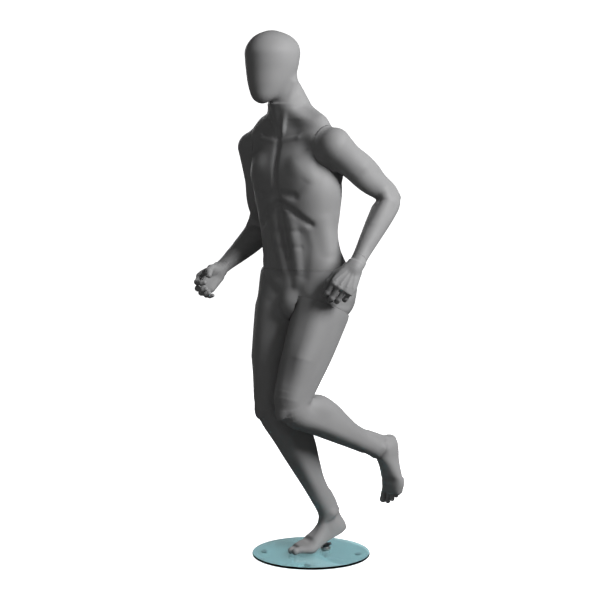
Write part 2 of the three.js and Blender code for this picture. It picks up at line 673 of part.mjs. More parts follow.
fitSeam('waist', WAIST, WAIST_FIT, lowerFit, upperFit);
fitSeam('left_thigh', THIGH, THIGH_FIT, lowerFit, legCore(legL, CORE_FIT));
Object.entries(ARMS).forEach(([side, joints]) => {
  const core = armCore(joints, CORE_FIT);
  const mouth = upperFit.intersect(arm(joints, ARM_PLACES, MOUTH_COVER));
  fitSeam(`${side}_shoulder`, SHOULDERS[side], SHOULDER_FIT, mouth, core);
  fitSeam(`${side}_wrist`, WRISTS[side], WRIST_FIT, core);
});

// ---------------------------------------------------------------- base
const HOLE_RADIUS = 6.5; // in the glass, for the foot rod
const BUMPER_RADIUS = 11;
const BUMPER_RING = 160;
const GROUND = vec(0, 0, 0);
const ring = (inner, outer, low, high, point, sides = 24) => lathe([
  [inner, low], [outer, low], [outer, high], [inner, high], [inner, low],
], point, AXIS_UP, sides);
const glass = lathe([
  [0, BUMPER_THICK], [BASE_RADIUS - 1.5, BUMPER_THICK], [BASE_RADIUS, BUMPER_THICK + 1.5],
  [BASE_RADIUS, GLASS_TOP - 1.5], [BASE_RADIUS - 1.5, GLASS_TOP], [0, GLASS_TOP],
], GROUND, AXIS_UP, 96);
add('glass_plate', glass.subtract(disc(HOLE_RADIUS, 30, FITTING_AT, AXIS_UP, 24)), 'glass');
const bumper = (point) => lathe([
  [0, 0], [BUMPER_RADIUS - 2, 0], [BUMPER_RADIUS, 2], [BUMPER_RADIUS, BUMPER_THICK - FIT_GAP],
  [0, BUMPER_THICK - FIT_GAP],
], point, AXIS_UP, 20);
add('bumper_centre', bumper(GROUND), 'rubber');
['front_left', 'back_left', 'back_right', 'front_right'].forEach((name, i) => {
  const angle = Math.PI * (i / 2 - 0.25);
  add(`bumper_${name}`, bumper(vec(BUMPER_RING * Math.cos(angle), BUMPER_RING * Math.sin(angle), 0)), 'rubber');
});

// ---------------------------------------------------------------- foot fitting
const WASHER_TOP = GLASS_TOP + 1.9;
const FLANGE_TOP = 22;
const COLLAR_TOP = 33.5;
const SCREW_HEIGHT = 28.4; // axis of the thumb screws
const THUMB_SCREWS = 3;
const standing = (profile, sides = 24) => lathe(profile, FITTING_AT, AXIS_UP, sides);

add('under_washer', ring(4, 14, 3.1, BUMPER_THICK - FIT_GAP, FITTING_AT), 'steel');
add('under_screw', standing([[0, 0.8], [7, 0.8], [8, 1.8], [8, 2.7], [3, 2.7], [3, 14], [0, 14]]), 'darkSteel');
add('foot_rod', standing([
  [3.4, 5.3], [ROD_RADIUS, 5.3], [ROD_RADIUS, ROD_TOP - 2], [ROD_RADIUS - 1, ROD_TOP], [0, ROD_TOP], [0, 17],
  [3.4, 17], [3.4, 5.3],
]), 'steel');
add('glass_washer', ring(ROD_RADIUS + FIT_GAP, 17, GLASS_TOP + FIT_GAP, WASHER_TOP, FITTING_AT), 'rubber');
add('foot_flange', standing([
  [ROD_RADIUS + FIT_GAP, WASHER_TOP + FIT_GAP], [19, WASHER_TOP + FIT_GAP], [19, 18], [11, 19.5],
  [10, FLANGE_TOP], [ROD_RADIUS + FIT_GAP, FLANGE_TOP], [ROD_RADIUS + FIT_GAP, WASHER_TOP + FIT_GAP],
]), 'steel');

const screwWays = Array.from({ length: THUMB_SCREWS }, (_, i) => {
  const angle = THREE.MathUtils.degToRad(80 + (360 * i) / THUMB_SCREWS);
  return vec(Math.cos(angle), Math.sin(angle), 0);
});
const screwAt = vec(FITTING_AT.x, FITTING_AT.y, SCREW_HEIGHT);
const collar = ring(ROD_RADIUS + FIT_GAP, 12, FLANGE_TOP + FIT_GAP, COLLAR_TOP, FITTING_AT);
add('foot_collar', cut(collar, screwWays.map((out) => disc(3, 30, screwAt, out, 12))), 'darkSteel');
screwWays.forEach((out, i) => {
  const start = ROD_RADIUS + FIT_GAP + 0.4;
  const screw = lathe([
    [0, start], [2.6, start], [2.6, 13], [4.5, 13], [5.2, 14], [5.2, 20], [4.5, 21], [0, 21],
  ], screwAt, out, 12);
  add(`thumb_screw_${i + 1}`, screw, 'darkSteel');
});
add('foot_socket', standing([
  [ROD_RADIUS + FIT_GAP, SOCKET_LOW], [SOCKET_RADIUS, SOCKET_LOW], [SOCKET_RADIUS, ROD_TOP + 5], [0, ROD_TOP + 5],
  [0, ROD_TOP + 2], [ROD_RADIUS + FIT_GAP, ROD_TOP + 2], [ROD_RADIUS + FIT_GAP, SOCKET_LOW],
]), 'steel');

export default mannequin;
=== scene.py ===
"""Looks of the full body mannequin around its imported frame.

Each painted shell is grown from one smooth body: lofted limbs, a torso, a neck and a head with muscles,
tendons and grooves on them, blended where they meet. The body is meshed once per shell and parted at the
same seams as the frame. Lengths in the tables are millimetres in the frame's axes: +Z up, front towards
-Y, the mannequin's left towards +X.
"""

import itertools
import json
import math

import bmesh
import bpy
import numpy as np
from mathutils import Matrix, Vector


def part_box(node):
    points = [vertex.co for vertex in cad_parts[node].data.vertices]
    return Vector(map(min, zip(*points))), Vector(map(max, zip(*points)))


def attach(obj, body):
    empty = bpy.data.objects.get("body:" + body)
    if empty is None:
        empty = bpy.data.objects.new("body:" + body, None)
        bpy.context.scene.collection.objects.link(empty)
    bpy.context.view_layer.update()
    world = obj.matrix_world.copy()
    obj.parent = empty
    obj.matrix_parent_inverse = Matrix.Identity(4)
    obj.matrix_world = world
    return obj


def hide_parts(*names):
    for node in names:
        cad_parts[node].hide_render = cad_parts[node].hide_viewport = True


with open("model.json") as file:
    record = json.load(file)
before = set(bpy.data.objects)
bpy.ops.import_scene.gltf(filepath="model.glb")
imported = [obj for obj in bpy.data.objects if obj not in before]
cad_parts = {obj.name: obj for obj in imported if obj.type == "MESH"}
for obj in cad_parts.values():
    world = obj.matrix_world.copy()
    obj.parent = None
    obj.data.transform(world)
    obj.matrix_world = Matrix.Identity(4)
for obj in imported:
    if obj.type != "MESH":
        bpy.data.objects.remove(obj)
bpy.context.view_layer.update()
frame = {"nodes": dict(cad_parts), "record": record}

MM = 0.001
FAR = 500.0
NEAR_MARGIN = 12  # how far outside its box a shape still matters
LIMB_BATCH, GRID_BATCH = 40000, 200000  # points worked out at a time
UP = np.array([0.0, 0.0, 1.0])


def vec(*xyz):
    return np.array(xyz, float)


def unit(v):
    return v / np.linalg.norm(v)


# ---- pose and sections
HIP_R, KNEE_R, ANKLE_R = vec(-62, -58, 935), vec(-50, -140, 515), vec(2, 80, 130.5)
HIP_L, KNEE_L, ANKLE_L = vec(94, -8, 925), vec(92, -180, 530), vec(104, 209, 357)
SHOULDER_R, ELBOW_R, WRIST_R = vec(-159, -107, 1388), vec(-212, -35, 1098), vec(-172, -262, 974)
SHOULDER_L, ELBOW_L, WRIST_L = vec(172, -60, 1390), vec(208, 171, 1217), vec(244, -28, 1000)
LEFT, RIGHT = 1, -1

# Torso: height, centre x and y, turn in degrees, half width, depth in front and behind.
TORSO = [
    (850, 24, -38, 21, 118, 62, 84), (880, 22, -38, 21, 150, 88, 112), (920, 20, -39, 21, 157, 96, 116),
    (985, 18, -45, 19, 152, 94, 102), (1050, 16, -54, 17, 134, 92, 88), (1100, 14, -60, 15, 132, 94, 90),
    (1170, 13, -66, 13, 144, 104, 104), (1250, 12, -71, 11, 156, 112, 114), (1310, 9, -76, 10, 152, 106, 116),
    (1350, 5, -81, 10, 150, 90, 110), (1385, 1, -85, 10, 152, 72, 96), (1412, -1, -87, 10, 150, 62, 82),
    (1432, -3, -87, 9, 150, 55, 76), (1450, -4, -86, 8, 148, 50, 72), (1470, -5, -86, 7, 124, 50, 68),
    (1490, -6, -90, 6, 90, 52, 62), (1512, -7, -98, 5, 64, 54, 60),
]
# Limbs: place along the axis, half width, front, back.
LEG = [
    (-0.05, 80, 82, 96), (0.12, 82, 87, 96), (0.32, 78, 85, 93), (0.55, 69, 77, 86), (0.75, 60, 66, 70),
    (0.9, 54, 60, 58), (1, 52, 58, 55), (1.1, 51, 48, 62), (1.25, 54, 39, 92), (1.4, 53, 36, 87),
    (1.58, 44, 33, 63), (1.77, 34, 30, 41), (1.93, 32, 31, 36), (2, 33, 33, 38),
]
ARM = [
    (0, 58, 58, 58), (0.2, 49, 54, 52), (0.42, 43, 50, 47), (0.65, 39, 45, 43), (0.85, 37, 38, 39),
    (1, 39, 34, 37), (1.15, 42, 38, 36), (1.3, 41, 38, 35), (1.6, 33, 31, 29), (1.85, 26, 22, 22),
    (2, 27, 20, 20),
]
NECK = [
    (-0.3, 70, 58, 66), (0, 62, 54, 64), (0.5, 58, 54, 62), (1, 55, 54, 60),
    (1.5, 53, 52, 52), (2, 46, 46, 30),
]
NECK_JOINTS = [vec(-5, -78, 1450), vec(-6, -98, 1510), vec(-7, -120, 1602)]
# Head: height above the chin, centre forward of its axis, half width, half depth.
HEAD = [
    (-3, 42, 0, 0), (5, 40, 23, 25), (17, 33, 37, 42), (40, 21, 51, 62), (69, 10, 63, 79), (100, 3, 71, 89),
    (136, 0, 77, 95), (168, -2, 77, 97), (195, -4, 67, 85), (215, -3, 49, 62), (227, -1, 26, 33),
    (232, 0, 0, 0),
]
HEAD_BASE = vec(-8, -160, 1526)
# Foot: place along the sole, half width, height above the axis, below it.
FOOT = [
    (0, 22, 30, 11), (0.1, 30, 50, 12), (0.25, 33, 74, 12), (0.42, 33, 62, 10), (0.6, 37, 44, 9),
    (0.8, 43, 33, 11), (1, 46, 26, 12), (1.5, 46, 22, 12), (2, 42, 15, 11),
]
SOLE_DEPTH, FOOT_AXIS, HEEL_BACK, BALL_AHEAD, TOE_ROOTS = 77, 12, 28, 124, 30
# Toes from the big one: across the foot, root ahead of the ball, length, radius.
TOES = [(31, 20, 51, 12.5), (11, 25, 48, 9.2), (-6, 20, 44, 8.7), (-21, 11, 40, 8.2), (-35, 0, 35, 8)]
# Palm: place from the wrist, half width, back of the hand, palm side.
PALM = [(-14, 26, 19, 19), (12, 29, 18, 19), (42, 37, 17, 19), (68, 42, 15, 16), (86, 41, 12, 12)]
# Fingers from the index: across the palm, root ahead of the wrist, rise, three bone lengths, radius.
FINGERS = [
    (30, 80, 1, (40, 25, 18), 9.5), (10, 84, 3, (44, 28, 19), 9.8),
    (-11, 80, 2, (41, 26, 19), 9.3), (-30, 72, -2, (32, 20, 17), 8.2),
]
FINGER_TAPER = (1, 0.98, 0.93, 0.86, 0.8)
THUMB = [(44, 0.72, 0.5, 0.48), (30, 0.86, 0.12, 0.5), (22, 0.8, -0.12, 0.58)]
THUMB_RADII = (15, 12.5, 11, 9.5)


def through(rows):
    """Smooth curve through rows of numbers; the first of each row is its place."""
    rows = np.array(rows, float)
    place, value = rows[:, 0], rows[:, 1:]
    width = np.diff(place)[:, None]
    rise = np.diff(value, axis=0) / width
    between = (rise[:-1] * width[1:] + rise[1:] * width[:-1]) / (width[1:] + width[:-1])
    slope = np.vstack([rise[:1], between, rise[-1:]])

    def at(t):
        t = np.clip(np.asarray(t, float), place[0], place[-1])
        i = np.clip(np.searchsorted(place, t, side="right") - 1, 0, len(place) - 2)
        w = width[i]
        s = ((t - place[i])[..., None]) / w
        a, b = value[i], value[i + 1]
        bent = (s**3 - 2 * s**2 + s) * w * slope[i] + (s**3 - s**2) * w * slope[i + 1]
        return a + (3 * s**2 - 2 * s**3) * (b - a) + bent

    return at


# ---- shapes as distance fields
class Shape:
    """A distance field, the box outside which it doesn't matter, and how softly it joins its neighbours."""

    def __init__(self, field, low, high, soft):
        self.field, self.low, self.high, self.soft = field, np.array(low), np.array(high), soft


def smooth_min(a, b, soft):
    h = np.maximum(soft - np.abs(a - b), 0)
    return np.minimum(a, b) - h * h / (4 * soft)


def smooth_max(a, b, soft):
    return -smooth_min(-a, -b, soft)


def near_box(points, low, high, margin):
    return np.all((points > low - margin) & (points < high + margin), axis=1)


def union(shapes, points):
    found = np.full(len(points), FAR)
    for shape in shapes:
        near = near_box(points, shape.low, shape.high, shape.soft + NEAR_MARGIN)
        if near.any():
            found[near] = smooth_min(found[near], shape.field(points[near]), shape.soft)
    return found


def superoval(across, along, width, depth, power):
    return (np.abs(across / width) ** power + np.abs(along / depth) ** power) ** (1 / power)


def stations(joints, rounding, places):
    """Points and directions along a line through three joints with its corner rounded."""
    first, middle, last = joints
    before = rounding / np.linalg.norm(middle - first)
    after = rounding / np.linalg.norm(last - middle)
    centres, ways = [], []
    for t in places:
        if t <= 1 - before:
            centres.append(first + (middle - first) * t)
            ways.append(unit(middle - first))
        elif t >= 1 + after:
            centres.append(middle + (last - middle) * (t - 1))
            ways.append(unit(last - middle))
        else:
            share = (t - 1 + before) / (before + after)
            start = middle + (first - middle) * before
            end = middle + (last - middle) * after
            low = start + (middle - start) * share
            high = middle + (end - middle) * share
            centres.append(low + (high - low) * share)
            ways.append(unit(high - low))
    return np.array(centres), np.array(ways)


class Limb:
    """A bent tube: its axis, its frame and its sections."""

    def __init__(
        self, joints, rows, rounding, flex=1, side=None, front_sign=1, power=2.2, caps=(40, 8), count=56
    ):
        self.joints, self.rounding, self.power, self.caps = joints, rounding, power, caps
        if side is None:
            side = unit(np.cross(unit(joints[1] - joints[0]), unit(joints[2] - joints[1]))) * flex
        self.side, self.front_sign = side, front_sign
        self.places = np.linspace(rows[0][0], rows[-1][0], count)
        self.centres, self.ways = stations(joints, rounding, self.places)
        self.fronts = self.fronts_of(self.ways)
        self.sizes = through(rows)(self.places)
        reach = self.sizes.max() + max(caps)
        self.low, self.high = self.centres.min(0) - reach, self.centres.max(0) + reach

    def fronts_of(self, ways):
        fronts = np.cross(ways, self.side) * self.front_sign
        return fronts / np.linalg.norm(fronts, axis=-1, keepdims=True)

    def at(self, t, across=0.0, forward=0.0):
        """A point from its place along the limb, across it and in front of its axis."""
        centre, way = stations(self.joints, self.rounding, [t])
        return centre[0] + self.side * across + self.fronts_of(way)[0] * forward

    def __call__(self, points):
        result = np.empty(len(points))
        last = len(self.places) - 1
        for start in range(0, len(points), LIMB_BATCH):
            some = points[start:start + LIMB_BATCH]
            square = (some**2).sum(1)[:, None] - 2 * some @ self.centres.T + (self.centres**2).sum(1)
            nearest = square.argmin(1)
            along = ((some - self.centres[nearest]) * self.ways[nearest]).sum(1)
            after, before = np.minimum(nearest + 1, last), np.maximum(nearest - 1, 0)
            gap = np.linalg.norm(self.centres[after] - self.centres[before], axis=1) / (after - before)
            place = nearest + along / gap
            over = np.where(place < 0, -place, np.where(place > last, place - last, 0)) * gap
            cap = np.where(place < 0, self.caps[0], self.caps[1])
            place = np.clip(place, 0, last)
            low = np.minimum(place.astype(int), last - 1)
            share = (place - low)[:, None]
            centre = self.centres[low] + (self.centres[low + 1] - self.centres[low]) * share
            front = self.fronts[low] + (self.fronts[low + 1] - self.fronts[low]) * share
            size = self.sizes[low] + (self.sizes[low + 1] - self.sizes[low]) * share
            away = some - centre
            across = away @ self.side
            forward = (away * front).sum(1)
            depth = np.where(forward > 0, size[:, 1], size[:, 2])
            q = superoval(across, forward, size[:, 0], depth, self.power)
            q = np.sqrt(q * q + (over / cap) ** 2) + 1e-6
            result[start:start + LIMB_BATCH] = np.linalg.norm(away, axis=1) * (1 - 1 / q)
        return result

    def shape(self, soft):
        return Shape(self, self.low, self.high, soft)


def ball(centre, radii, soft, axes=None):
    """A squashed ball; `axes` are its three directions, one to a row."""
    radii = np.array(radii, float) * np.ones(3)
    turn = np.eye(3) if axes is None else np.array(axes)

    def field(points):
        away = points - centre
        q = np.linalg.norm((away @ turn.T) / radii, axis=1) + 1e-6
        return np.linalg.norm(away, axis=1) * (1 - 1 / q)

    reach = radii.max()
    return Shape(field, centre - reach, centre + reach, soft)


def rod(points_on, radii, soft):
    """A tapered round rod through points."""
    nodes = [np.array(p, float) for p in points_on]

    def field(points):
        found = np.full(len(points), FAR)
        for (a, b), (ra, rb) in zip(zip(nodes, nodes[1:]), zip(radii, radii[1:])):
            line = b - a
            share = np.clip((points - a) @ line / (line @ line), 0, 1)
            reach = np.linalg.norm(points - a - share[:, None] * line, axis=1) - (ra + (rb - ra) * share)
            found = np.minimum(found, reach)
        return found

    reach = max(radii)
    return Shape(field, np.min(nodes, 0) - reach, np.max(nodes, 0) + reach, soft)


# ---- trunk
TORSO_POWER = 2.3
TORSO_CAPS = (34, 40)  # heights of its rounded ends, below and above
HEAD_ENDS, HEAD_STEP = 0.5, 0.4  # how far from its ends and over what height the head's slope is read

torso_at = through(TORSO)


def on_torso(across, forward, z):
    x, y, degrees = torso_at(z)[:3]
    turn = math.radians(degrees)
    return vec(
        x + across * math.cos(turn) + forward * math.sin(turn),
        y + across * math.sin(turn) - forward * math.cos(turn),
        z,
    )


def torso_local(points):
    """Points as across, forward and height on the torso, and the torso's sizes there."""
    rows = torso_at(points[:, 2])
    turn = np.radians(rows[:, 2])
    dx, dy = points[:, 0] - rows[:, 0], points[:, 1] - rows[:, 1]
    across = dx * np.cos(turn) + dy * np.sin(turn)
    forward = dx * np.sin(turn) - dy * np.cos(turn)
    return across, forward, rows[:, 3:]


def torso_field(points):
    across, forward, size = torso_local(points)
    z = points[:, 2]
    bottom, top = TORSO[0][0], TORSO[-1][0]
    over = np.where(z < bottom, (bottom - z) / TORSO_CAPS[0], np.where(z > top, (z - top) / TORSO_CAPS[1], 0))
    depth = np.where(forward > 0, size[:, 1], size[:, 2])
    q = np.sqrt(superoval(across, forward, size[:, 0], depth, TORSO_POWER) ** 2 + over**2) + 1e-6
    return np.hypot(across, forward) * (1 - 1 / q)


head_rows = np.array(HEAD, float)
head_middle = through(head_rows[:, :2])
head_squares = through(np.column_stack([head_rows[:, 0], head_rows[:, 2:] ** 2]))


def head_field(points):
    height = points[:, 2] - HEAD_BASE[2]
    low, high = head_rows[0, 0], head_rows[-1, 0]
    inner = np.clip(height, low + HEAD_ENDS, high - HEAD_ENDS)
    ahead = head_middle(inner)[:, 0]
    square = np.maximum(head_squares(inner), 4)
    steep = head_squares(inner + HEAD_STEP)[:, 0] - head_squares(inner - HEAD_STEP)[:, 0]
    steep /= 2 * HEAD_STEP
    dx, dy = points[:, 0] - HEAD_BASE[0], points[:, 1] - HEAD_BASE[1] + ahead
    q = np.sqrt(dx**2 / square[:, 0] + dy**2 / square[:, 1])
    width = np.sqrt(square.mean(1))
    flank = (q - 1) * width / np.sqrt(1 + (steep / (2 * width)) ** 2)
    return flank + np.maximum(np.abs(height - inner) - HEAD_ENDS, 0)


def turned_axes(z):
    turn = math.radians(torso_at(z)[2])
    return [(math.cos(turn), math.sin(turn), 0), (math.sin(turn), -math.cos(turn), 0), (0, 0, 1)]


def torso_ball(across, forward, z, radii, soft):
    return ball(on_torso(across, forward, z), radii, soft, turned_axes(z))


def torso_rod(nodes, radii, soft):
    return rod([on_torso(*node) for node in nodes], radii, soft)


neck = Limb(NECK_JOINTS, NECK, 30, power=2.1, caps=(20, 10), count=24)
pelvis_shapes = [Shape(torso_field, vec(-400, -500, 780), vec(400, 400, 1560), 20)]
trunk_shapes = []
waist_shapes = []  # the trunk's muscles that reach down past the waist seam
for s in (LEFT, RIGHT):
    muscles = [
        torso_ball(s * 66, 62, 1296, (68, 42, 66), 18),
        torso_rod([(s * 76, 60, 1318), (s * 132, 16, 1372)], (38, 22), 22),
        torso_rod([(s * 32, 77, 1205), (s * 30, 74, 1090), (s * 27, 72, 990)], (25, 24, 22), 12),
        torso_rod([(s * 104, 26, 1148), (s * 106, 22, 1050)], (30, 28), 16),
        torso_rod([(s * 34, -84, 1300), (s * 32, -70, 1080), (s * 30, -78, 1000)], (26, 27, 26), 16),
        torso_ball(s * 80, -90, 1326, (50, 22, 68), 34),
        torso_rod([(s * 13, 56, 1401), (s * 78, 53, 1414), (s * 136, 10, 1432)], (8.5, 7.5, 8), 9),
        torso_ball(s * 110, -4, 1402, (62, 58, 58), 24),
    ]
    trunk_shapes += muscles
    waist_shapes += muscles[2:6]
    pelvis_shapes += [torso_ball(s * 66, -60, 890, (78, 72, 84), 18)]
for s in (LEFT, RIGHT):
    front_of_neck = [(9 + 9 * s, -141, 1408), (-6 + 31 * s, -132, 1490), (-8 + 48 * s, -112, 1590)]
    side_of_neck = [(-9 + 22 * s, -98, 1600), (-7 + 43 * s, -66, 1503), on_torso(s * 114, -12, 1464)]
    trunk_shapes += [rod(front_of_neck, (8, 10, 11), 9), rod(side_of_neck, (14, 28, 27), 30)]
trunk_shapes += [rod([(-5, -130, 1462), (-6, -145, 1518)], (14, 14), 12)]
bulge = torso_ball(-8, 60, 870, (56, 56, 55), 18)
head = Shape(head_field, vec(-90, -262, 1520), vec(74, -60, 1762), 24)
collar_shapes = [neck.shape(20), *trunk_shapes, head]

# Grooves of the front and the back: points across and up, depth and width.
FRONT_STROKES = [
    ([(0, 1392), (0, 1225)], 8, 10),
    ([(0, 1200), (0, 1050)], 10, 12),
    ([(0, 1030)], 8, 9),
    ([(0, 1020), (0, 930)], 2.5, 12),
    ([(-60, 1168), (60, 1168)], 2.2, 9),
    ([(-56, 1112), (56, 1112)], 2.2, 9),
    ([(-52, 1060), (52, 1060)], 1.8, 9),
]
for s in (LEFT, RIGHT):
    FRONT_STROKES += [
        ([(s * 10, 1206), (s * 50, 1178), (s * 94, 1136)], 9, 12),
        ([(s * 68, 1140), (s * 72, 1060), (s * 48, 965)], 3.5, 17),
        ([(s * 140, 990), (s * 62, 902)], 5, 16),
        ([(s * 14, 1236), (s * 62, 1227)], 7, 13),
        ([(s * 72, 1230), (s * 108, 1268)], 3, 15),
    ]
BACK_STROKES = [([(0, 1430), (0, 1000)], 9, 15), ([(0, 965), (0, 800)], 16, 10)]
# Dents: centre, width and depth.
DENTS = [(on_torso(0, 62, 1418), 15, 9)]
for s in (LEFT, RIGHT):
    BACK_STROKES += [([(s * 34, 1360), (s * 40, 1300), (s * 88, 1250)], 4, 12)]
    DENTS += [
        (on_torso(s * 60, 34, 1444), 26, 7),
        (on_torso(s * 104, 52, 1386), 24, 8),
        (on_torso(s * 36, -92, 985), 14, 3),
    ]


CARVED_LOW, CARVED_HIGH, CARVED_BAND = 780, 1470, 60  # where the trunk is carved, and how near its skin
SIDE_FADE = 30  # how far in front of the axis or behind it the grooves are at full depth


def stroke_depth(strokes, across, z):
    total = np.zeros(len(across))
    for nodes, depth, width in strokes:
        nearest = np.full(len(across), 1e9)
        for (ax, az), (bx, bz) in zip(nodes, nodes[1:] or nodes):
            dx, dz = bx - ax, bz - az
            length = max(dx * dx + dz * dz, 1e-9)
            share = np.clip(((across - ax) * dx + (z - az) * dz) / length, 0, 1)
            nearest = np.minimum(nearest, np.hypot(across - ax - share * dx, z - az - share * dz))
        total += depth * np.exp(-((nearest / width) ** 2))
    return total


def carved(found, points):
    """A trunk field with its grooves and hollows."""
    near = (np.abs(found) < CARVED_BAND) & (points[:, 2] > CARVED_LOW) & (points[:, 2] < CARVED_HIGH)
    if near.any():
        some = points[near]
        across, forward, _ = torso_local(some)
        front = np.clip(forward / SIDE_FADE, 0, 1)
        back = np.clip(-forward / SIDE_FADE, 0, 1)
        extra = front * stroke_depth(FRONT_STROKES, across, some[:, 2])
        extra += back * stroke_depth(BACK_STROKES, across, some[:, 2])
        for centre, width, depth in DENTS:
            extra += depth * np.exp(-(((some - centre) ** 2).sum(1) / width**2))
        found = found.copy()
        found[near] += extra
    return found


# ---- legs and feet
def leg_shapes(joints, medial):
    """A leg's loft and the shapes of its muscles; `medial` is the sign of its inner side."""
    leg = Limb(joints, LEG, 75)
    at = leg.at
    down = unit(joints[1] - joints[0])
    shin = unit(joints[2] - joints[1])
    thigh_axes = [leg.side, unit(np.cross(down, leg.side)), down]
    shin_axes = [leg.side, unit(np.cross(shin, leg.side)), shin]
    m = medial
    return leg, [
        leg.shape(18),
        rod([at(0.22, -m * 40, 34), at(0.6, -m * 38, 34), at(0.9, -m * 29, 22)], (40, 34, 18), 20),
        rod([at(0.64, m * 26, 30), at(0.92, m * 25, 24)], (30, 20), 18),
        rod([at(0.15, 0, 48), at(0.5, 0, 44), at(0.9, 0, 34)], (38, 34, 16), 20),
        ball(at(0.985, 0, 49), (24, 14, 30), 14, thigh_axes),
        rod([at(1.02, 0, 44), at(1.13, 0, 36)], (11, 10), 14),
        rod([at(0.2, m * 22, -56), at(0.9, m * 31, -34)], (36, 14), 16),
        rod([at(0.2, -m * 22, -56), at(0.9, -m * 31, -34)], (36, 14), 16),
        ball(at(1.28, m * 19, -44), (29, 35, 84), 14, shin_axes),
        ball(at(1.25, -m * 20, -42), (27, 33, 76), 14, shin_axes),
        rod([at(1.12, m * 4, 30), at(1.85, m * 3, 21)], (12, 10), 12),
        rod([at(1.7, 0, -32), at(1.93, 0, -33)], (12, 11), 14),
        ball(at(1.985, m * 25, -1), 12, 16),
        ball(at(2.01, -m * 25, -7), 11.5, 16),
    ]


def foot_shapes(leg, ankle, sole, top, toes, handed, spread):
    """A foot from the ways of its sole, of its top and of its toes; `spread` fans the toes out."""
    medial = unit(np.cross(sole, top)) * handed

    def across(way):
        return unit(np.cross(way, medial)) * -handed

    up = across(sole)

    def place(forward):
        return ankle + sole * forward + up * (FOOT_AXIS - SOLE_DEPTH)

    joints = [place(-HEEL_BACK), place(BALL_AHEAD), place(BALL_AHEAD) + toes * TOE_ROOTS]
    body = Limb(joints, FOOT, 25, side=medial, front_sign=-handed, power=2.4, caps=(14, 8), count=40)
    lift = across(toes)
    shapes = [body.shape(26)]
    for offset, root, length, radius in TOES:
        def at(along, rise, offset=offset, root=root):
            fanned = offset * (1 + spread * max(along, 0) / length)
            return joints[1] + medial * fanned + toes * (root + along) + lift * rise
        low = radius - FOOT_AXIS
        nodes = [
            at(-16, low + 2), at(length * 0.42, low + 3),
            at(length * 0.62, low + 1), at(length - radius, low),
        ]
        shapes.append(rod(nodes, (radius * 0.9, radius * 0.86, radius * 0.86, radius), 3.5))
    shapes += [
        ball(joints[1] + medial * 26 + lift * -1, (20, 20, 13), 10, [medial, toes, lift]),
        ball(joints[1] - medial * 30 + lift * -3, (17, 24, 11), 10, [medial, toes, lift]),
        rod([ankle + sole * 34 + up * -22 + medial * 8, joints[1] + medial * 26 + lift * 12], (9, 5), 12),
        ball(place(-14) + up * 4, (25, 24, 16), 12, [medial, sole, up]),
        rod([leg.at(1.86, 0, -31), place(-24) + up * 22], (12, 17), 18),
    ]
    return shapes


leg_r, leg_r_shapes = leg_shapes([HIP_R, KNEE_R, ANKLE_R], 1)
leg_l, leg_l_shapes = leg_shapes([HIP_L, KNEE_L, ANKLE_L], -1)
leg_r_shapes += foot_shapes(
    leg_r, ANKLE_R, unit(vec(-0.13, -0.924, -0.36)), UP, unit(vec(-0.3, -0.954, 0)), RIGHT, 0
)
leg_l_shapes += foot_shapes(
    leg_l, ANKLE_L, unit(vec(0.12, -0.03, -0.985)), vec(0, -1, 0), unit(vec(-0.06, -0.2, -0.975)), LEFT, 0.15
)


# ---- arms and hands
def arm_shapes(joints, lateral, bulk):
    """The shapes of an arm; `lateral` is the sign of its outer side, `bulk` thickens the upper arm."""
    arm = Limb(joints, ARM, 45, flex=-1, caps=(50, 30))
    at = arm.at
    upper = unit(joints[1] - joints[0])
    upper_axes = [arm.side, unit(np.cross(upper, arm.side)), upper]
    s = lateral
    return [
        arm.shape(14),
        rod([at(0.04, s * 8, 2), at(0.4, s * 24, 6)], (52, 20), 14),
        ball(at(0.56, -s * 2, 21), (27 + bulk, 30 + bulk, 84), 12, upper_axes),
        ball(at(0.46, s * 10, -22), (29 + bulk, 29 + bulk, 84), 12, upper_axes),
        ball(at(1, 0, -42), (13, 15, 18), 15, upper_axes),
        rod([at(0.84, s * 20, 18), at(1.12, s * 22, 20), at(1.45, s * 14, 14)], (18, 23, 14), 12),
        rod([at(1.04, -s * 20, 6), at(1.2, -s * 20, 10), at(1.5, -s * 12, 10)], (16, 24, 14), 12),
        rod([at(1.05, s * 4, -22), at(1.9, s * 14, -10)], (13, 9), 10),
        ball(at(1.93, s * 16, -11), 11, 8),
    ]


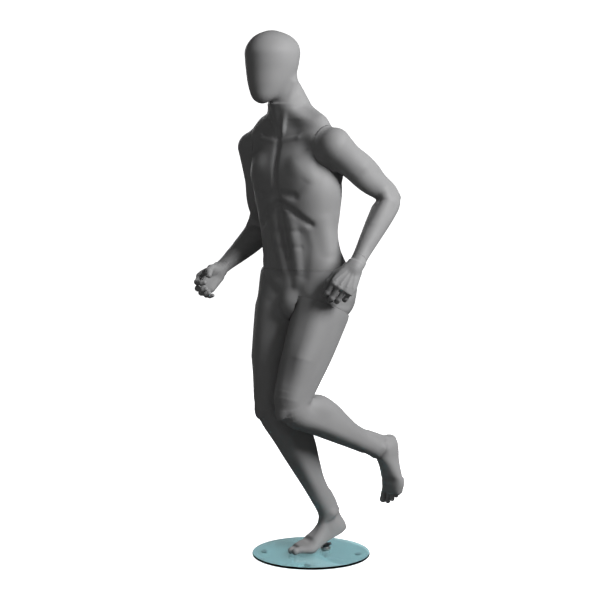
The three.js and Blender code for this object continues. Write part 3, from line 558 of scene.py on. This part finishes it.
def hand_shapes(wrist, knuckles, palm, curl, handed, tendons):
    """A hand from the ways of its knuckles and palm; `curl` is the bend at each finger joint in degrees."""
    facing = unit(palm - knuckles * (palm @ knuckles))
    back = -facing
    thumb_side = np.cross(facing, knuckles) * handed

    def at(along, across, inward):
        return wrist + knuckles * along + thumb_side * across + facing * inward

    joints = [at(-14, 0, 0), at(36, 0, 0), at(86, 0, 0)]
    sign = 1 if np.cross(knuckles, thumb_side) @ back > 0 else -1
    rows = [((place + 14) / 50, *sizes) for place, *sizes in PALM]
    hand = Limb(joints, rows, 5, side=thumb_side, front_sign=sign, power=2.5, caps=(6, 7), count=24)
    shapes = [hand.shape(10)]
    for across, root, rise, lengths, radius in FINGERS:
        nodes = [at(root - 14, across, -rise), at(root, across, -rise)]
        angle = 0.0
        for bone, length in enumerate(lengths):
            angle += math.radians(curl[bone])
            way = knuckles * math.cos(angle) + facing * math.sin(angle)
            nodes.append(nodes[-1] + way * (length - radius * 0.7 if bone == 2 else length))
        shapes.append(rod(nodes, [share * radius for share in FINGER_TAPER], 3.5))
        for node, share in zip(nodes[1:4], FINGER_TAPER[1:4]):
            shapes.append(ball(node, radius * share * 1.08, 4))
        shapes.append(ball(at(root - 2, across, -rise - 5), (8, 9, 6.5), 5, [thumb_side, knuckles, facing]))
        if tendons:
            tendon = [at(14, across * 0.35, -14), at(root - 8, across, -11.5 - rise)]
            shapes.append(rod(tendon, (3.4, 3.2), 5))
    nodes = [at(14, 18, 6)]
    for length, along, across, inward in THUMB:
        nodes.append(nodes[-1] + unit(at(along, across, inward) - wrist) * length)
    shapes.append(rod(nodes, THUMB_RADII, 9))
    shapes += [
        rod([at(10, 14, 10), at(46, 26, 14)], (16, 15), 9),
        rod([at(10, -18, 8), at(62, -30, 8)], (15, 12), 10),
        ball(nodes[2], 12.2, 4),
    ]
    return shapes


arm_r_shapes = arm_shapes([SHOULDER_R, ELBOW_R, WRIST_R], -1, 7)
arm_l_shapes = arm_shapes([SHOULDER_L, ELBOW_L, WRIST_L], 1, 0)
hand_r_shapes = hand_shapes(WRIST_R, unit(WRIST_R - ELBOW_R), vec(1, 0.1, 0), (28, 50, 30), RIGHT, False)
hand_l_shapes = hand_shapes(
    WRIST_L, unit(vec(-0.035, -0.607, -0.793)), unit(vec(-0.836, 0.454, -0.309)), (36, 55, 30), LEFT, True
)

# ---- fields of the shells
LIMB_REACH = 12  # how far an arm's shell may stand out from its own loft where it blends with the trunk
THIGH_REACH = 26  # the same for the thigh under the hip
LIMB_BLEND, WRIST_BLEND = 22, 12  # how softly a limb joins the trunk, and a hand its arm
ARM_STUB, THIGH_STUB = 62, 105  # how far from its joint a limb still blends into the trunk's field
TRUNK_REACH, PELVIS_REACH = 90, 150  # how far from the joint the trunk still blends into an arm and a leg
FADE_SLOPE = 0.8
LEGS_APART, LEGS_APART_SOFT = 2.5, 2
LIMB_ROOT = 4  # number of a limb's shapes that belong to its upper end


def fading(found, points, centre, reach):
    return found + FADE_SLOPE * np.maximum(np.linalg.norm(points - centre, axis=1) - reach, 0)


def trunk_field(points):
    return carved(union([*pelvis_shapes, *collar_shapes], points), points)


def upper_field(points):
    found = trunk_field(points)
    for shapes, shoulder in ((arm_l_shapes, SHOULDER_L), (arm_r_shapes, SHOULDER_R)):
        stub = fading(union(shapes[:LIMB_ROOT], points), points, shoulder, ARM_STUB)
        found = smooth_min(found, stub, LIMB_BLEND)
    return found


def pelvis_field(points, with_bulge=True):
    shapes = [*pelvis_shapes, *waist_shapes]
    return carved(union([*shapes, bulge] if with_bulge else shapes, points), points)


def lower_field(points):
    found = smooth_min(pelvis_field(points), union(leg_r_shapes, points), LIMB_BLEND)
    stub = fading(union(leg_l_shapes[:LIMB_ROOT], points), points, HIP_L, THIGH_STUB)
    return smooth_min(found, stub, LIMB_BLEND)


def hand_field(arm_parts, hand_parts):
    return lambda points: smooth_min(union(arm_parts, points), union(hand_parts, points), WRIST_BLEND)


# ---- meshes from fields
BLOCK = 6


def sampled(field, low, high, step):
    """The field on a grid, worked out only where the surface can be."""
    counts = np.ceil((np.array(high) - low) / step / BLOCK).astype(int)
    spots = np.stack(np.meshgrid(*[np.arange(n) for n in counts], indexing="ij"), -1).reshape(-1, 3)
    middles = low + (spots * BLOCK + BLOCK / 2) * step
    rough = field(middles)
    values = np.where(rough > 0, FAR, -FAR).reshape(counts)
    for axis in range(3):
        values = np.repeat(values, BLOCK, axis)
    near = np.abs(rough) < step * BLOCK * 1.6 + 8
    inner = np.stack(np.meshgrid(*[np.arange(BLOCK)] * 3, indexing="ij"), -1).reshape(-1, 3)
    places = (spots[near][:, None] * BLOCK + inner).reshape(-1, 3)
    for start in range(0, len(places), GRID_BATCH):
        some = places[start:start + GRID_BATCH]
        values[tuple(some.T)] = field(low + some * step)
    return values


def net(values, low, step):
    """A smooth net over the zero surface of a grid: points and quads."""
    inside = values < 0
    size = np.array(values.shape) - 1
    total = np.zeros(size, np.int8)
    for i, j, k in itertools.product((0, 1), repeat=3):
        total += inside[i:i + size[0], j:j + size[1], k:k + size[2]]
    cells = (total > 0) & (total < 8)
    at = np.argwhere(cells)
    index = np.full(size, -1)
    index[cells] = np.arange(len(at))
    sums, counts = np.zeros((len(at), 3)), np.zeros((len(at), 1))
    for axis in range(3):
        step_on = np.eye(3, dtype=int)[axis]
        others = [a for a in range(3) if a != axis]
        for i, j in itertools.product((0, 1), repeat=2):
            corner = np.zeros(3, int)
            corner[others[0]], corner[others[1]] = i, j
            first = at + corner
            a, b = values[tuple(first.T)], values[tuple((first + step_on).T)]
            crossed = (a < 0) != (b < 0)
            share = np.where(crossed, a / np.where(crossed, a - b, 1), 0)
            sums += np.where(crossed[:, None], corner + share[:, None] * step_on, 0)
            counts += crossed[:, None]
    points = low + (at + sums / counts) * step
    quads = []
    for axis in range(3):
        eb, ec = np.eye(3, dtype=int)[(axis + 1) % 3], np.eye(3, dtype=int)[(axis + 2) % 3]
        first = np.moveaxis(inside, axis, 0)
        changed = np.moveaxis(first[:-1] != first[1:], 0, axis)
        grid = np.argwhere(changed)
        fits = np.all((grid - eb - ec >= 0) & (grid < size), axis=1)
        grid = grid[fits]
        outward = inside[tuple(grid.T)]
        quad = np.stack([index[tuple((grid - shift).T)] for shift in (eb + ec, ec, 0 * eb, eb)], 1)
        quads.append(np.where(outward[:, None], quad, quad[:, ::-1]))
    quads = np.vstack(quads)
    return points, quads[(quads >= 0).all(1)]


def box_of(*nodes):
    corners = np.array([[*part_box(node)[0], *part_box(node)[1]] for node in nodes]) / MM
    return corners[:, :3].min(0), corners[:, 3:].max(0)


def grown(field, low, high, step):
    """A bmesh of a field inside a box, in millimetres, with loose scraps taken off."""
    low = np.array(low, float)
    points, quads = net(sampled(field, low, high, step), low, step)
    parent = np.arange(len(points))
    for _ in range(200):
        least = parent[quads].min(1)
        before = parent.copy()
        np.minimum.at(parent, quads.ravel(), np.repeat(least, 4))
        parent = parent[parent]
        if (parent == before).all():
            break
    names, counts = np.unique(parent[quads[:, 0]], return_counts=True)
    quads = quads[parent[quads[:, 0]] == names[counts.argmax()]]
    used, again = np.unique(quads, return_inverse=True)
    mesh = bpy.data.meshes.new("grown")
    mesh.from_pydata(points[used], [], again.reshape(-1, 4))
    bm = bmesh.new()
    bm.from_mesh(mesh)
    bpy.data.meshes.remove(mesh)
    return bm


# ---- seams and mouths
SEAM_HALF = 0.4  # half of the gap between two shells
CLEARANCE = 1.0  # round a limb, where it sits in the body
WALL = 6.0
POCKET, POCKET_OVER = 14.0, 3  # depth of a mouth's pocket, and how far its cutter stands out
PLATE_RECESS, PLATE_THICK, PLATE_GAP = 1.6, 10.0, 0.5
MOUTH_POINTS, PLATE_POINTS, HOLE_SIDES = 160, 140, 40
CREASE, PLATE_CREASE = 35, 30  # degrees at which an edge stays sharp
LEG_PULLED = (0, 10, 20, 28)  # places of the left leg as it's pulled off, which the hips leave free
ARM_SEAM_IN, ARM_SEAM_TURN, ARM_STUD_DOWN, WRIST_PLACE, THIGH_SEAM_DOWN = 36, 10, 32, 0.87, 68


class Seam:
    """A cutting plane, the way across it to the piece that comes off, and its stud's centre."""

    def __init__(self, point, normal, centre=None):
        self.point, self.normal = point, unit(normal)
        self.centre = point if centre is None else centre


def shoulder_seam(shoulder, elbow, handed):
    turn = math.radians(ARM_SEAM_TURN)
    normal = handed * vec(math.cos(turn), math.sin(turn), 0)
    point = shoulder - normal * ARM_SEAM_IN
    down = elbow - shoulder
    down = unit(down - normal * (down @ normal))
    return Seam(point, normal, point + down * ARM_STUD_DOWN)


def wrist_seam(elbow, wrist):
    return Seam(elbow + (wrist - elbow) * WRIST_PLACE, wrist - elbow)


THIGH_DOWN = unit(KNEE_L - HIP_L)
SEAMS = {
    "waist": Seam(vec(18, -45, 984), UP),
    "left_thigh": Seam(HIP_L + THIGH_DOWN * THIGH_SEAM_DOWN, THIGH_DOWN),
    "right_shoulder": shoulder_seam(SHOULDER_R, ELBOW_R, RIGHT),
    "left_shoulder": shoulder_seam(SHOULDER_L, ELBOW_L, LEFT),
    "right_wrist": wrist_seam(ELBOW_R, WRIST_R),
    "left_wrist": wrist_seam(ELBOW_L, WRIST_L),
}
# Holes of the plates: round the cup's lip in the one that stays, round the stud's neck in the other.
HOLES = {
    "waist": (34.6, 16.2), "left_thigh": (26.6, 11.6),
    "right_shoulder": (19.6, 7.7), "left_shoulder": (19.6, 7.7),
    "right_wrist": (12.6, None), "left_wrist": (12.6, None),
}


def parted(bm, seam, side, shift=SEAM_HALF):
    """Keeps what is past the seam (side 1) or before it (side -1), and only its biggest part."""
    whole = bm.verts[:] + bm.edges[:] + bm.faces[:]
    point = seam.point + seam.normal * side * shift
    bmesh.ops.bisect_plane(
        bm, geom=whole, dist=1e-3, plane_co=Vector(point), plane_no=Vector(seam.normal),
        clear_outer=side < 0, clear_inner=side > 0,
    )
    keep_biggest(bm)


def keep_biggest(bm):
    bm.verts.ensure_lookup_table()
    left, islands = set(bm.verts), []
    while left:
        queue, island = [left.pop()], []
        while queue:
            vert = queue.pop()
            island.append(vert)
            for edge in vert.link_edges:
                other = edge.other_vert(vert)
                if other in left:
                    left.discard(other)
                    queue.append(other)
        islands.append(island)
    islands.sort(key=len)
    for island in islands[:-1]:
        bmesh.ops.delete(bm, geom=island, context="VERTS")


def border_loops(bm):
    edges = {edge for edge in bm.edges if edge.is_boundary}
    loops = []
    while edges:
        edge = edges.pop()
        loop, vert = [edge.verts[0]], edge.verts[1]
        while vert is not loop[0]:
            loop.append(vert)
            following = next((e for e in vert.link_edges if e in edges), None)
            if following is None:
                break
            edges.discard(following)
            vert = following.other_vert(vert)
        loops.append(loop)
    return sorted(loops, key=len, reverse=True)


def inset(ring, normal, distance):
    """A closed flat ring moved inwards, its corners eased."""
    reach = 3
    tangent = np.roll(ring, -reach, 0) - np.roll(ring, reach, 0)
    inward = np.cross(normal, tangent)
    inward /= np.linalg.norm(inward, axis=1, keepdims=True) + 1e-9
    if ((ring.mean(0) - ring) * inward).sum() < 0:
        inward = -inward
    moved = ring + inward * distance
    for _ in range(6):
        moved = (np.roll(moved, 1, 0) + 2 * moved + np.roll(moved, -1, 0)) / 4
    return moved


def evened(ring, count):
    closed = np.vstack([ring, ring[:1]])
    lengths = np.concatenate([[0], np.cumsum(np.linalg.norm(np.diff(closed, axis=0), axis=1))])
    spots = np.linspace(0, lengths[-1], count, endpoint=False)
    return np.stack([np.interp(spots, lengths, closed[:, a]) for a in range(3)], 1)


def walled_mouth(bm, outward):
    """Closes the border of a shell with a rim as wide as its wall and a flat-bottomed pocket.

    Returns the inner edge of the rim.
    """
    loops = border_loops(bm)
    for small in loops[1:]:
        if len(small) > 2:
            bm.faces.new(small)
    main = loops[0]
    outline = np.array([vert.co for vert in main])
    inner = inset(outline, outward, WALL)
    rim = [bm.verts.new(p) for p in inner]
    deep = [bm.verts.new(p) for p in inner - outward * POCKET]
    for i in range(len(main)):
        j = (i + 1) % len(main)
        bm.faces.new((main[i], main[j], rim[j], rim[i]))
        bm.faces.new((rim[i], rim[j], deep[j], deep[i]))
    bm.faces.new(deep)
    return evened(inner, MOUTH_POINTS)


def face_outwards(bm):
    bmesh.ops.recalc_face_normals(bm, faces=bm.faces[:])
    return bm


def capped(bm):
    for loop in border_loops(bm):
        if len(loop) > 2:
            bm.faces.new(loop)
    return face_outwards(bm)


def prism(outline, normal, low, high):
    bm = bmesh.new()
    ends = [[bm.verts.new(p) for p in outline + normal * level] for level in (low, high)]
    for i in range(len(outline)):
        j = (i + 1) % len(outline)
        bm.faces.new((ends[0][i], ends[0][j], ends[1][j], ends[1][i]))
    for end in ends:
        bm.faces.new(end)
    return face_outwards(bm)


def shade(mesh, crease=CREASE):
    mesh.polygons.foreach_set("use_smooth", [True] * len(mesh.polygons))
    mesh.set_sharp_from_angle(angle=math.radians(crease))


def shown(name, data):
    """A new object of some data, in the scene."""
    made = bpy.data.objects.new(name, data)
    bpy.context.collection.objects.link(made)
    return made


def object_of(name, bm, crease=CREASE):
    """A Blender object of a bmesh in millimetres."""
    bmesh.ops.scale(bm, vec=(MM, MM, MM), verts=bm.verts[:])
    mesh = bpy.data.meshes.new(name)
    bm.to_mesh(mesh)
    bm.free()
    shade(mesh, crease)
    return shown(name, mesh)


def subtracted(target, cutters):
    """The target with the cutters taken off it, which are then thrown away."""
    for cutter in cutters:
        for solver in ("MANIFOLD", "EXACT"):
            cut = target.modifiers.new("cut", "BOOLEAN")
            cut.operation, cut.object, cut.solver = "DIFFERENCE", cutter, solver
            depsgraph = bpy.context.evaluated_depsgraph_get()
            made = bpy.data.meshes.new_from_object(target.evaluated_get(depsgraph))
            target.modifiers.remove(cut)
            if len(made.polygons) and len(made.vertices) != len(target.data.vertices):
                break
            print("boolean", target.name, cutter.name, solver, "gave nothing")
        target.data = made
        bpy.data.objects.remove(cutter)
    shade(target.data)
    return target


STEP = {"trunk": 3.4, "legs": 3.0, "arm": 3.0, "hand": 1.8}
MARGIN, HAND_MARGIN, TRUNK_MARGIN = 10, 8, 4  # room round a node's box, and more for hands and trunk
ARM_TOP, ARM_INWARD = 1462, 70  # top of the arms' boxes, and how far they go in from the shoulder
UPPER_BOTTOM, LEG_TOP, LOWER_TOP = 960, 960, 1006


def field_box(node, **sides):
    """The box of a node with some room, and with the sides given by name, as in low_z=960."""
    low, high = box_of(node)
    low, high = low - MARGIN, high + MARGIN
    for key, value in sides.items():
        (low if key.startswith("low") else high)["xyz".index(key[-1])] = value
    return low, high


pieces = {}
plates = []


def add_plate(name, outline, seam, outward, hole):
    """An end plate just inside a mouth, with its hole."""
    bm = bmesh.new()
    ring = evened(inset(outline, seam.normal, PLATE_GAP), PLATE_POINTS)
    flat = ring - outward * ((ring - seam.point) @ outward)[:, None]
    loops = [flat]
    if hole:
        a = unit(np.cross(seam.normal, UP if abs(seam.normal[2]) < 0.9 else vec(1, 0, 0)))
        b = np.cross(seam.normal, a)
        angles = np.linspace(0, 2 * math.pi, HOLE_SIDES, endpoint=False)
        loops.append(seam.centre + hole * (np.cos(angles)[:, None] * a + np.sin(angles)[:, None] * b))
    edges = []
    for loop in loops:
        verts = [bm.verts.new(p - outward * PLATE_RECESS) for p in loop]
        edges += [bm.edges.new((verts[i], verts[(i + 1) % len(verts)])) for i in range(len(verts))]
    bmesh.ops.triangle_fill(bm, use_beauty=True, use_dissolve=False, edges=edges, normal=Vector(outward))
    out = bmesh.ops.extrude_face_region(bm, geom=bm.faces[:])
    moved = [v for v in out["geom"] if isinstance(v, bmesh.types.BMVert)]
    bmesh.ops.translate(bm, vec=Vector(-outward * PLATE_THICK), verts=moved)
    plates.append((name, object_of(f"{name}_looks", face_outwards(bm), PLATE_CREASE)))


# ---- shells
def limb_shell(node, field, step, box, seam):
    """A limb's shell parted at its seam with the body, and what the body loses to it."""
    low, high = field_box(node, **box)
    bm = grown(field, low, high, step)
    cutter = bm.copy()
    parted(bm, seam, 1)
    parted(face_outwards(cutter), seam, 1, -SEAM_HALF)
    capped(cutter)
    cutter.normal_update()
    return bm, cutter


def swollen(bm, distance, seam):
    """Moves a cutter's skin outwards, but not its flat end."""
    bm.normal_update()
    moves = {}
    for vert in bm.verts:
        off = (np.array(vert.co) - seam.point) @ seam.normal
        if off > -SEAM_HALF + 0.01:
            moves[vert] = vert.normal * distance
        else:
            skin = [f.normal for f in vert.link_faces if abs(f.normal.dot(Vector(seam.normal))) < 0.95]
            if skin:
                way = sum(skin, Vector())
                way -= Vector(seam.normal) * way.dot(Vector(seam.normal))
                moves[vert] = way.normalized() * distance if way.length > 1e-6 else Vector()
    for vert, move in moves.items():
        vert.co += move
    return bm


ARM_SIDES = {
    "right": (arm_r_shapes, hand_r_shapes, SHOULDER_R, RIGHT),
    "left": (arm_l_shapes, hand_l_shapes, SHOULDER_L, LEFT),
}
body_cutters = []
for side_name, (arm_parts, hand_parts, shoulder, handed) in ARM_SIDES.items():
    shoulder_cut, wrist_cut = SEAMS[f"{side_name}_shoulder"], SEAMS[f"{side_name}_wrist"]
    inner = "low_x" if handed == LEFT else "high_x"

    def own_arm(points, arm_parts=arm_parts, shoulder=shoulder):
        own = union(arm_parts, points)
        trunk = fading(trunk_field(points), points, shoulder, TRUNK_REACH)
        return np.maximum(smooth_min(own, trunk, LIMB_BLEND), own - LIMB_REACH)

    box = {inner: shoulder[0] - handed * ARM_INWARD, "high_z": ARM_TOP}
    bm, cutter = limb_shell(f"{side_name}_arm_shell", own_arm, STEP["arm"], box, shoulder_cut)
    inner_outline = walled_mouth(bm, -shoulder_cut.normal)
    add_plate(f"{side_name}_shoulder_plate_loose", inner_outline, shoulder_cut, -shoulder_cut.normal,
              HOLES[f"{side_name}_shoulder"][1])
    add_plate(f"{side_name}_shoulder_plate_fixed", inner_outline, shoulder_cut, shoulder_cut.normal,
              HOLES[f"{side_name}_shoulder"][0])
    body_cutters.append(object_of("cutter", swollen(cutter, CLEARANCE, shoulder_cut)))
    pocket = prism(inner_outline, shoulder_cut.normal, -POCKET, POCKET_OVER)
    body_cutters.append(object_of("pocket", pocket))
    parted(bm, wrist_cut, -1)
    wrist_outline = walled_mouth(bm, wrist_cut.normal)
    add_plate(f"{side_name}_wrist_plate_fixed", wrist_outline, wrist_cut, wrist_cut.normal,
              HOLES[f"{side_name}_wrist"][0])
    pieces[f"{side_name}_arm_shell"] = object_of(f"{side_name}_arm_looks", face_outwards(bm))

    low, high = field_box(f"{side_name}_hand")
    palm = grown(hand_field(arm_parts, hand_parts), low - HAND_MARGIN, high + HAND_MARGIN, STEP["hand"])
    parted(palm, wrist_cut, 1)
    capped(palm)
    pieces[f"{side_name}_hand"] = object_of(f"{side_name}_hand_looks", palm)

low, high = field_box("upper_body_shell", low_z=UPPER_BOTTOM)
bm = grown(upper_field, low - TRUNK_MARGIN, high + TRUNK_MARGIN, STEP["trunk"])
parted(bm, SEAMS["waist"], 1)
outline = walled_mouth(bm, -UP)
add_plate("waist_plate_loose", outline, SEAMS["waist"], -UP, HOLES["waist"][1])
pieces["upper_body_shell"] = subtracted(object_of("upper_body_looks", face_outwards(bm)), body_cutters)

thigh = SEAMS["left_thigh"]


def own_left_leg(points):
    own = union(leg_l_shapes, points)
    pelvis = fading(pelvis_field(points, False), points, HIP_L, PELVIS_REACH)
    found = np.maximum(smooth_min(own, pelvis, LIMB_BLEND), own - THIGH_REACH)
    return smooth_max(found, LEGS_APART - union(leg_r_shapes, points), LEGS_APART_SOFT)


bm, cutter = limb_shell("left_leg_shell", own_left_leg, STEP["legs"], {"high_z": LEG_TOP}, thigh)
outline = walled_mouth(bm, -thigh.normal)
add_plate("left_thigh_plate_loose", outline, thigh, -thigh.normal, HOLES["left_thigh"][1])
add_plate("left_thigh_plate_fixed", outline, thigh, thigh.normal, HOLES["left_thigh"][0])
pieces["left_leg_shell"] = object_of("left_leg_looks", face_outwards(bm))
swollen(cutter, CLEARANCE, thigh)
thigh_cutters = [object_of("pocket", prism(outline, thigh.normal, -POCKET, POCKET_OVER))]
for pulled in LEG_PULLED:
    path = cutter.copy()
    bmesh.ops.translate(path, vec=Vector(thigh.normal * pulled), verts=path.verts[:])
    thigh_cutters.append(object_of("cutter", path))

low, high = field_box("lower_body_shell", high_z=LOWER_TOP)
high = np.maximum(high, 0) + [TRUNK_MARGIN, TRUNK_MARGIN, 0]
bm = grown(lower_field, low - TRUNK_MARGIN, high, STEP["legs"])
parted(bm, SEAMS["waist"], -1)
outline = walled_mouth(bm, UP)
add_plate("waist_plate_fixed", outline, SEAMS["waist"], UP, HOLES["waist"][0])
pieces["lower_body_shell"] = subtracted(object_of("lower_body_looks", face_outwards(bm)), thigh_cutters)


# ---- materials
def material(name, colour, roughness, metallic=0.0, specular=0.5):
    made = bpy.data.materials.new(name)
    made.use_nodes = True
    shader = made.node_tree.nodes["Principled BSDF"]
    shader.inputs["Base Color"].default_value = (*colour, 1)
    shader.inputs["Roughness"].default_value = roughness
    shader.inputs["Metallic"].default_value = metallic
    shader.inputs["Specular IOR Level"].default_value = specular
    return made, made.node_tree, shader


def noise(tree, scale, detail=3.0, stretch=None):
    place = tree.nodes.new("ShaderNodeTexCoord")
    source = place.outputs["Object"]
    if stretch:
        mapping = tree.nodes.new("ShaderNodeMapping")
        mapping.inputs["Scale"].default_value = stretch
        tree.links.new(source, mapping.inputs["Vector"])
        source = mapping.outputs["Vector"]
    made = tree.nodes.new("ShaderNodeTexNoise")
    made.inputs["Scale"].default_value = scale
    made.inputs["Detail"].default_value = detail
    tree.links.new(source, made.inputs["Vector"])
    return made.outputs["Fac"]


def ramp(tree, source, low, high, target, start=0.3, end=0.7):
    made = tree.nodes.new("ShaderNodeValToRGB")
    made.color_ramp.elements[0].position, made.color_ramp.elements[1].position = start, end
    made.color_ramp.elements[0].color, made.color_ramp.elements[1].color = (*low, 1), (*high, 1)
    tree.links.new(source, made.inputs["Fac"])
    tree.links.new(made.outputs["Color"], target)


def bump(tree, shader, source, strength, distance):
    made = tree.nodes.new("ShaderNodeBump")
    made.inputs["Strength"].default_value = strength
    made.inputs["Distance"].default_value = distance
    tree.links.new(source, made.inputs["Height"])
    tree.links.new(made.outputs["Normal"], shader.inputs["Normal"])


def grey(value):
    return (value, value, value * 1.01)


PAINT = 0.2
# The second glass colour is painted shade: a near-black base colour for the glass's edge faces, standing in
# for the dark look of a glass edge.
GLASS_TINT, GLASS_EDGE_SHADE = (0.47, 0.74, 0.78), (0.01, 0.03, 0.035)
paint, tree, shader = material("matte_paint", grey(PAINT), 0.62, specular=0.25)
ramp(tree, noise(tree, 9), grey(PAINT * 0.95), grey(PAINT * 1.05), shader.inputs["Base Color"])
ramp(tree, noise(tree, 40), grey(0.58), grey(0.68), shader.inputs["Roughness"])
bump(tree, shader, noise(tree, 1400, 2), 0.25, 0.0002)

plywood, tree, shader = material("plywood", (0.42, 0.28, 0.15), 0.7)
GRAIN = (1, 14, 14)
ramp(tree, noise(tree, 30, 6, GRAIN), (0.36, 0.22, 0.11), (0.5, 0.35, 0.2), shader.inputs["Base Color"])
bump(tree, shader, noise(tree, 60, 6, GRAIN), 0.3, 0.0003)

steel, tree, shader = material("turned_steel", (0.55, 0.56, 0.57), 0.32, 1.0)
ramp(tree, noise(tree, 300, 2, (1, 1, 8)), grey(0.26), grey(0.4), shader.inputs["Roughness"])

dark, tree, shader = material("blackened_steel", (0.03, 0.03, 0.033), 0.4, 0.9)
ramp(tree, noise(tree, 200), grey(0.32), grey(0.5), shader.inputs["Roughness"])
bump(tree, shader, noise(tree, 900), 0.2, 0.0002)

rubber, tree, shader = material("clear_rubber", (0.92, 0.94, 0.94), 0.3)
shader.inputs["Transmission Weight"].default_value = 0.97
shader.inputs["IOR"].default_value = 1.45
ramp(tree, noise(tree, 500), grey(0.25), grey(0.4), shader.inputs["Roughness"])
bump(tree, shader, noise(tree, 1200), 0.3, 0.0002)

glass, tree, shader = material("tinted_glass", GLASS_TINT, 0.03)
shader.inputs["Transmission Weight"].default_value = 1.0
shader.inputs["IOR"].default_value = 1.5
ramp(tree, noise(tree, 12), grey(0.02), grey(0.05), shader.inputs["Roughness"])
# Painted shade on the glass edge: faces whose normals lie flat (the edge) get the near-black colour, and the
# flat top and bottom keep the tint.
facing_up = tree.nodes.new("ShaderNodeSeparateXYZ")
tree.links.new(tree.nodes.new("ShaderNodeTexCoord").outputs["Normal"], facing_up.inputs["Vector"])
flatness = tree.nodes.new("ShaderNodeMath")
flatness.operation = "ABSOLUTE"
tree.links.new(facing_up.outputs["Z"], flatness.inputs[0])
ramp(tree, flatness.outputs["Value"], GLASS_EDGE_SHADE, GLASS_TINT, shader.inputs["Base Color"], 0.4, 0.95)

OF_SLOT = {
    "plywood": plywood, "steel": steel, "dark_steel": dark,
    "rubber": rubber, "glass": glass, "shell": paint,
}


def finished(obj, made):
    obj.data.materials.clear()
    obj.data.materials.append(made)


slot_of = {part["node"]: part["material_slot"] for part in frame["record"]["subparts"]}
bodies = frame["record"]["behaviour"]["bodies"]
body_of_node = {node: body for body, nodes in bodies.items() for node in nodes}
for node, obj in frame["nodes"].items():
    for place in obj.material_slots:
        place.material = OF_SLOT[slot_of[node]]

for node, obj in [*pieces.items(), *plates]:
    finished(obj, OF_SLOT[slot_of[node]])
    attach(obj, body_of_node[node])
    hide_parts(node)

# ---- studio
RIGHTWARD, NEARWARD = Vector((0.643, 0.766, 0)), Vector((0.766, -0.643, 0))
MIDDLE = Vector((0, 0, 1.0))
BACKDROP_REACH, FLOOR_HEIGHT = 14.0, -0.0005
BACKDROP_BRIGHTNESS, UNDER_GLASS_BRIGHTNESS, WORLD_BRIGHTNESS = 1.1, 0.42, 0.09
# Lights: metres to the right of the middle, nearer and above it, size in metres and power in watts.
LIGHTS = {
    "key": (2.9, 1.95, 2.1, 2.0, 310),
    "fill": (-1.9, 3.8, 0.5, 2.2, 15),
    "back": (-1.6, -4.0, 1.0, 2.4, 60),
}
CAMERA_PLACE, CAMERA_TILT, CAMERA_TURN = (3.806, -3.243, 1.373), 84.3, 50
LENS, SENSOR = 90, 36


def backdrop(name, mesh, brightness, under_glass=False):
    """A glowing white surface seen by the camera, or only through the glass, and that lights nothing."""
    made = shown(name, mesh)
    cover, tree, shader = material(f"{name}_cover", (0.9, 0.9, 0.9), 0.9)
    shader.inputs["Emission Color"].default_value = (1, 1, 1, 1)
    shader.inputs["Emission Strength"].default_value = brightness
    ramp(tree, noise(tree, 3), grey(0.88), grey(0.9), shader.inputs["Base Color"])
    mesh.materials.append(cover)
    made.visible_diffuse = made.visible_glossy = made.visible_shadow = False
    made.visible_camera, made.visible_transmission = not under_glass, under_glass


def floor_mesh():
    mesh = bpy.data.meshes.new("floor")
    r, z = BACKDROP_REACH, FLOOR_HEIGHT
    mesh.from_pydata([(-r, -r, z), (r, -r, z), (r, r, z), (-r, r, z)], [], [(0, 1, 2, 3)])
    return mesh


def dome_mesh():
    bm = bmesh.new()
    bmesh.ops.create_uvsphere(bm, u_segments=48, v_segments=24, radius=BACKDROP_REACH * 0.98)
    bmesh.ops.delete(bm, geom=[v for v in bm.verts if v.co.z < -0.01], context="VERTS")
    mesh = bpy.data.meshes.new("dome")
    bm.to_mesh(mesh)
    bm.free()
    return mesh


def soft_light(name, place, size, power):
    light = bpy.data.lights.new(name, "AREA")
    light.shape, light.size, light.energy = "DISK", size, power
    made = shown(name, light)
    made.location = place
    made.rotation_euler = (MIDDLE - place).to_track_quat("-Z", "Y").to_euler()


camera = bpy.data.cameras.new("camera")
camera.lens, camera.sensor_width = LENS, SENSOR
camera_object = shown("camera", camera)
camera_object.location = CAMERA_PLACE
camera_object.rotation_euler = (math.radians(CAMERA_TILT), 0, math.radians(CAMERA_TURN))
bpy.context.scene.camera = camera_object

backdrop("floor", floor_mesh(), BACKDROP_BRIGHTNESS)
backdrop("dome", dome_mesh(), BACKDROP_BRIGHTNESS)
backdrop("under_glass", floor_mesh(), UNDER_GLASS_BRIGHTNESS, True)
for name, (right, near, up, size, power) in LIGHTS.items():
    soft_light(name, MIDDLE + RIGHTWARD * right + NEARWARD * near + Vector((0, 0, up)), size, power)
world = bpy.data.worlds.new("studio")
world.use_nodes = True
world.node_tree.nodes["Background"].inputs["Color"].default_value = (1, 1, 1, 1)
world.node_tree.nodes["Background"].inputs["Strength"].default_value = WORLD_BRIGHTNESS
bpy.context.scene.world = world
bpy.context.scene.view_settings.view_transform = "Standard"
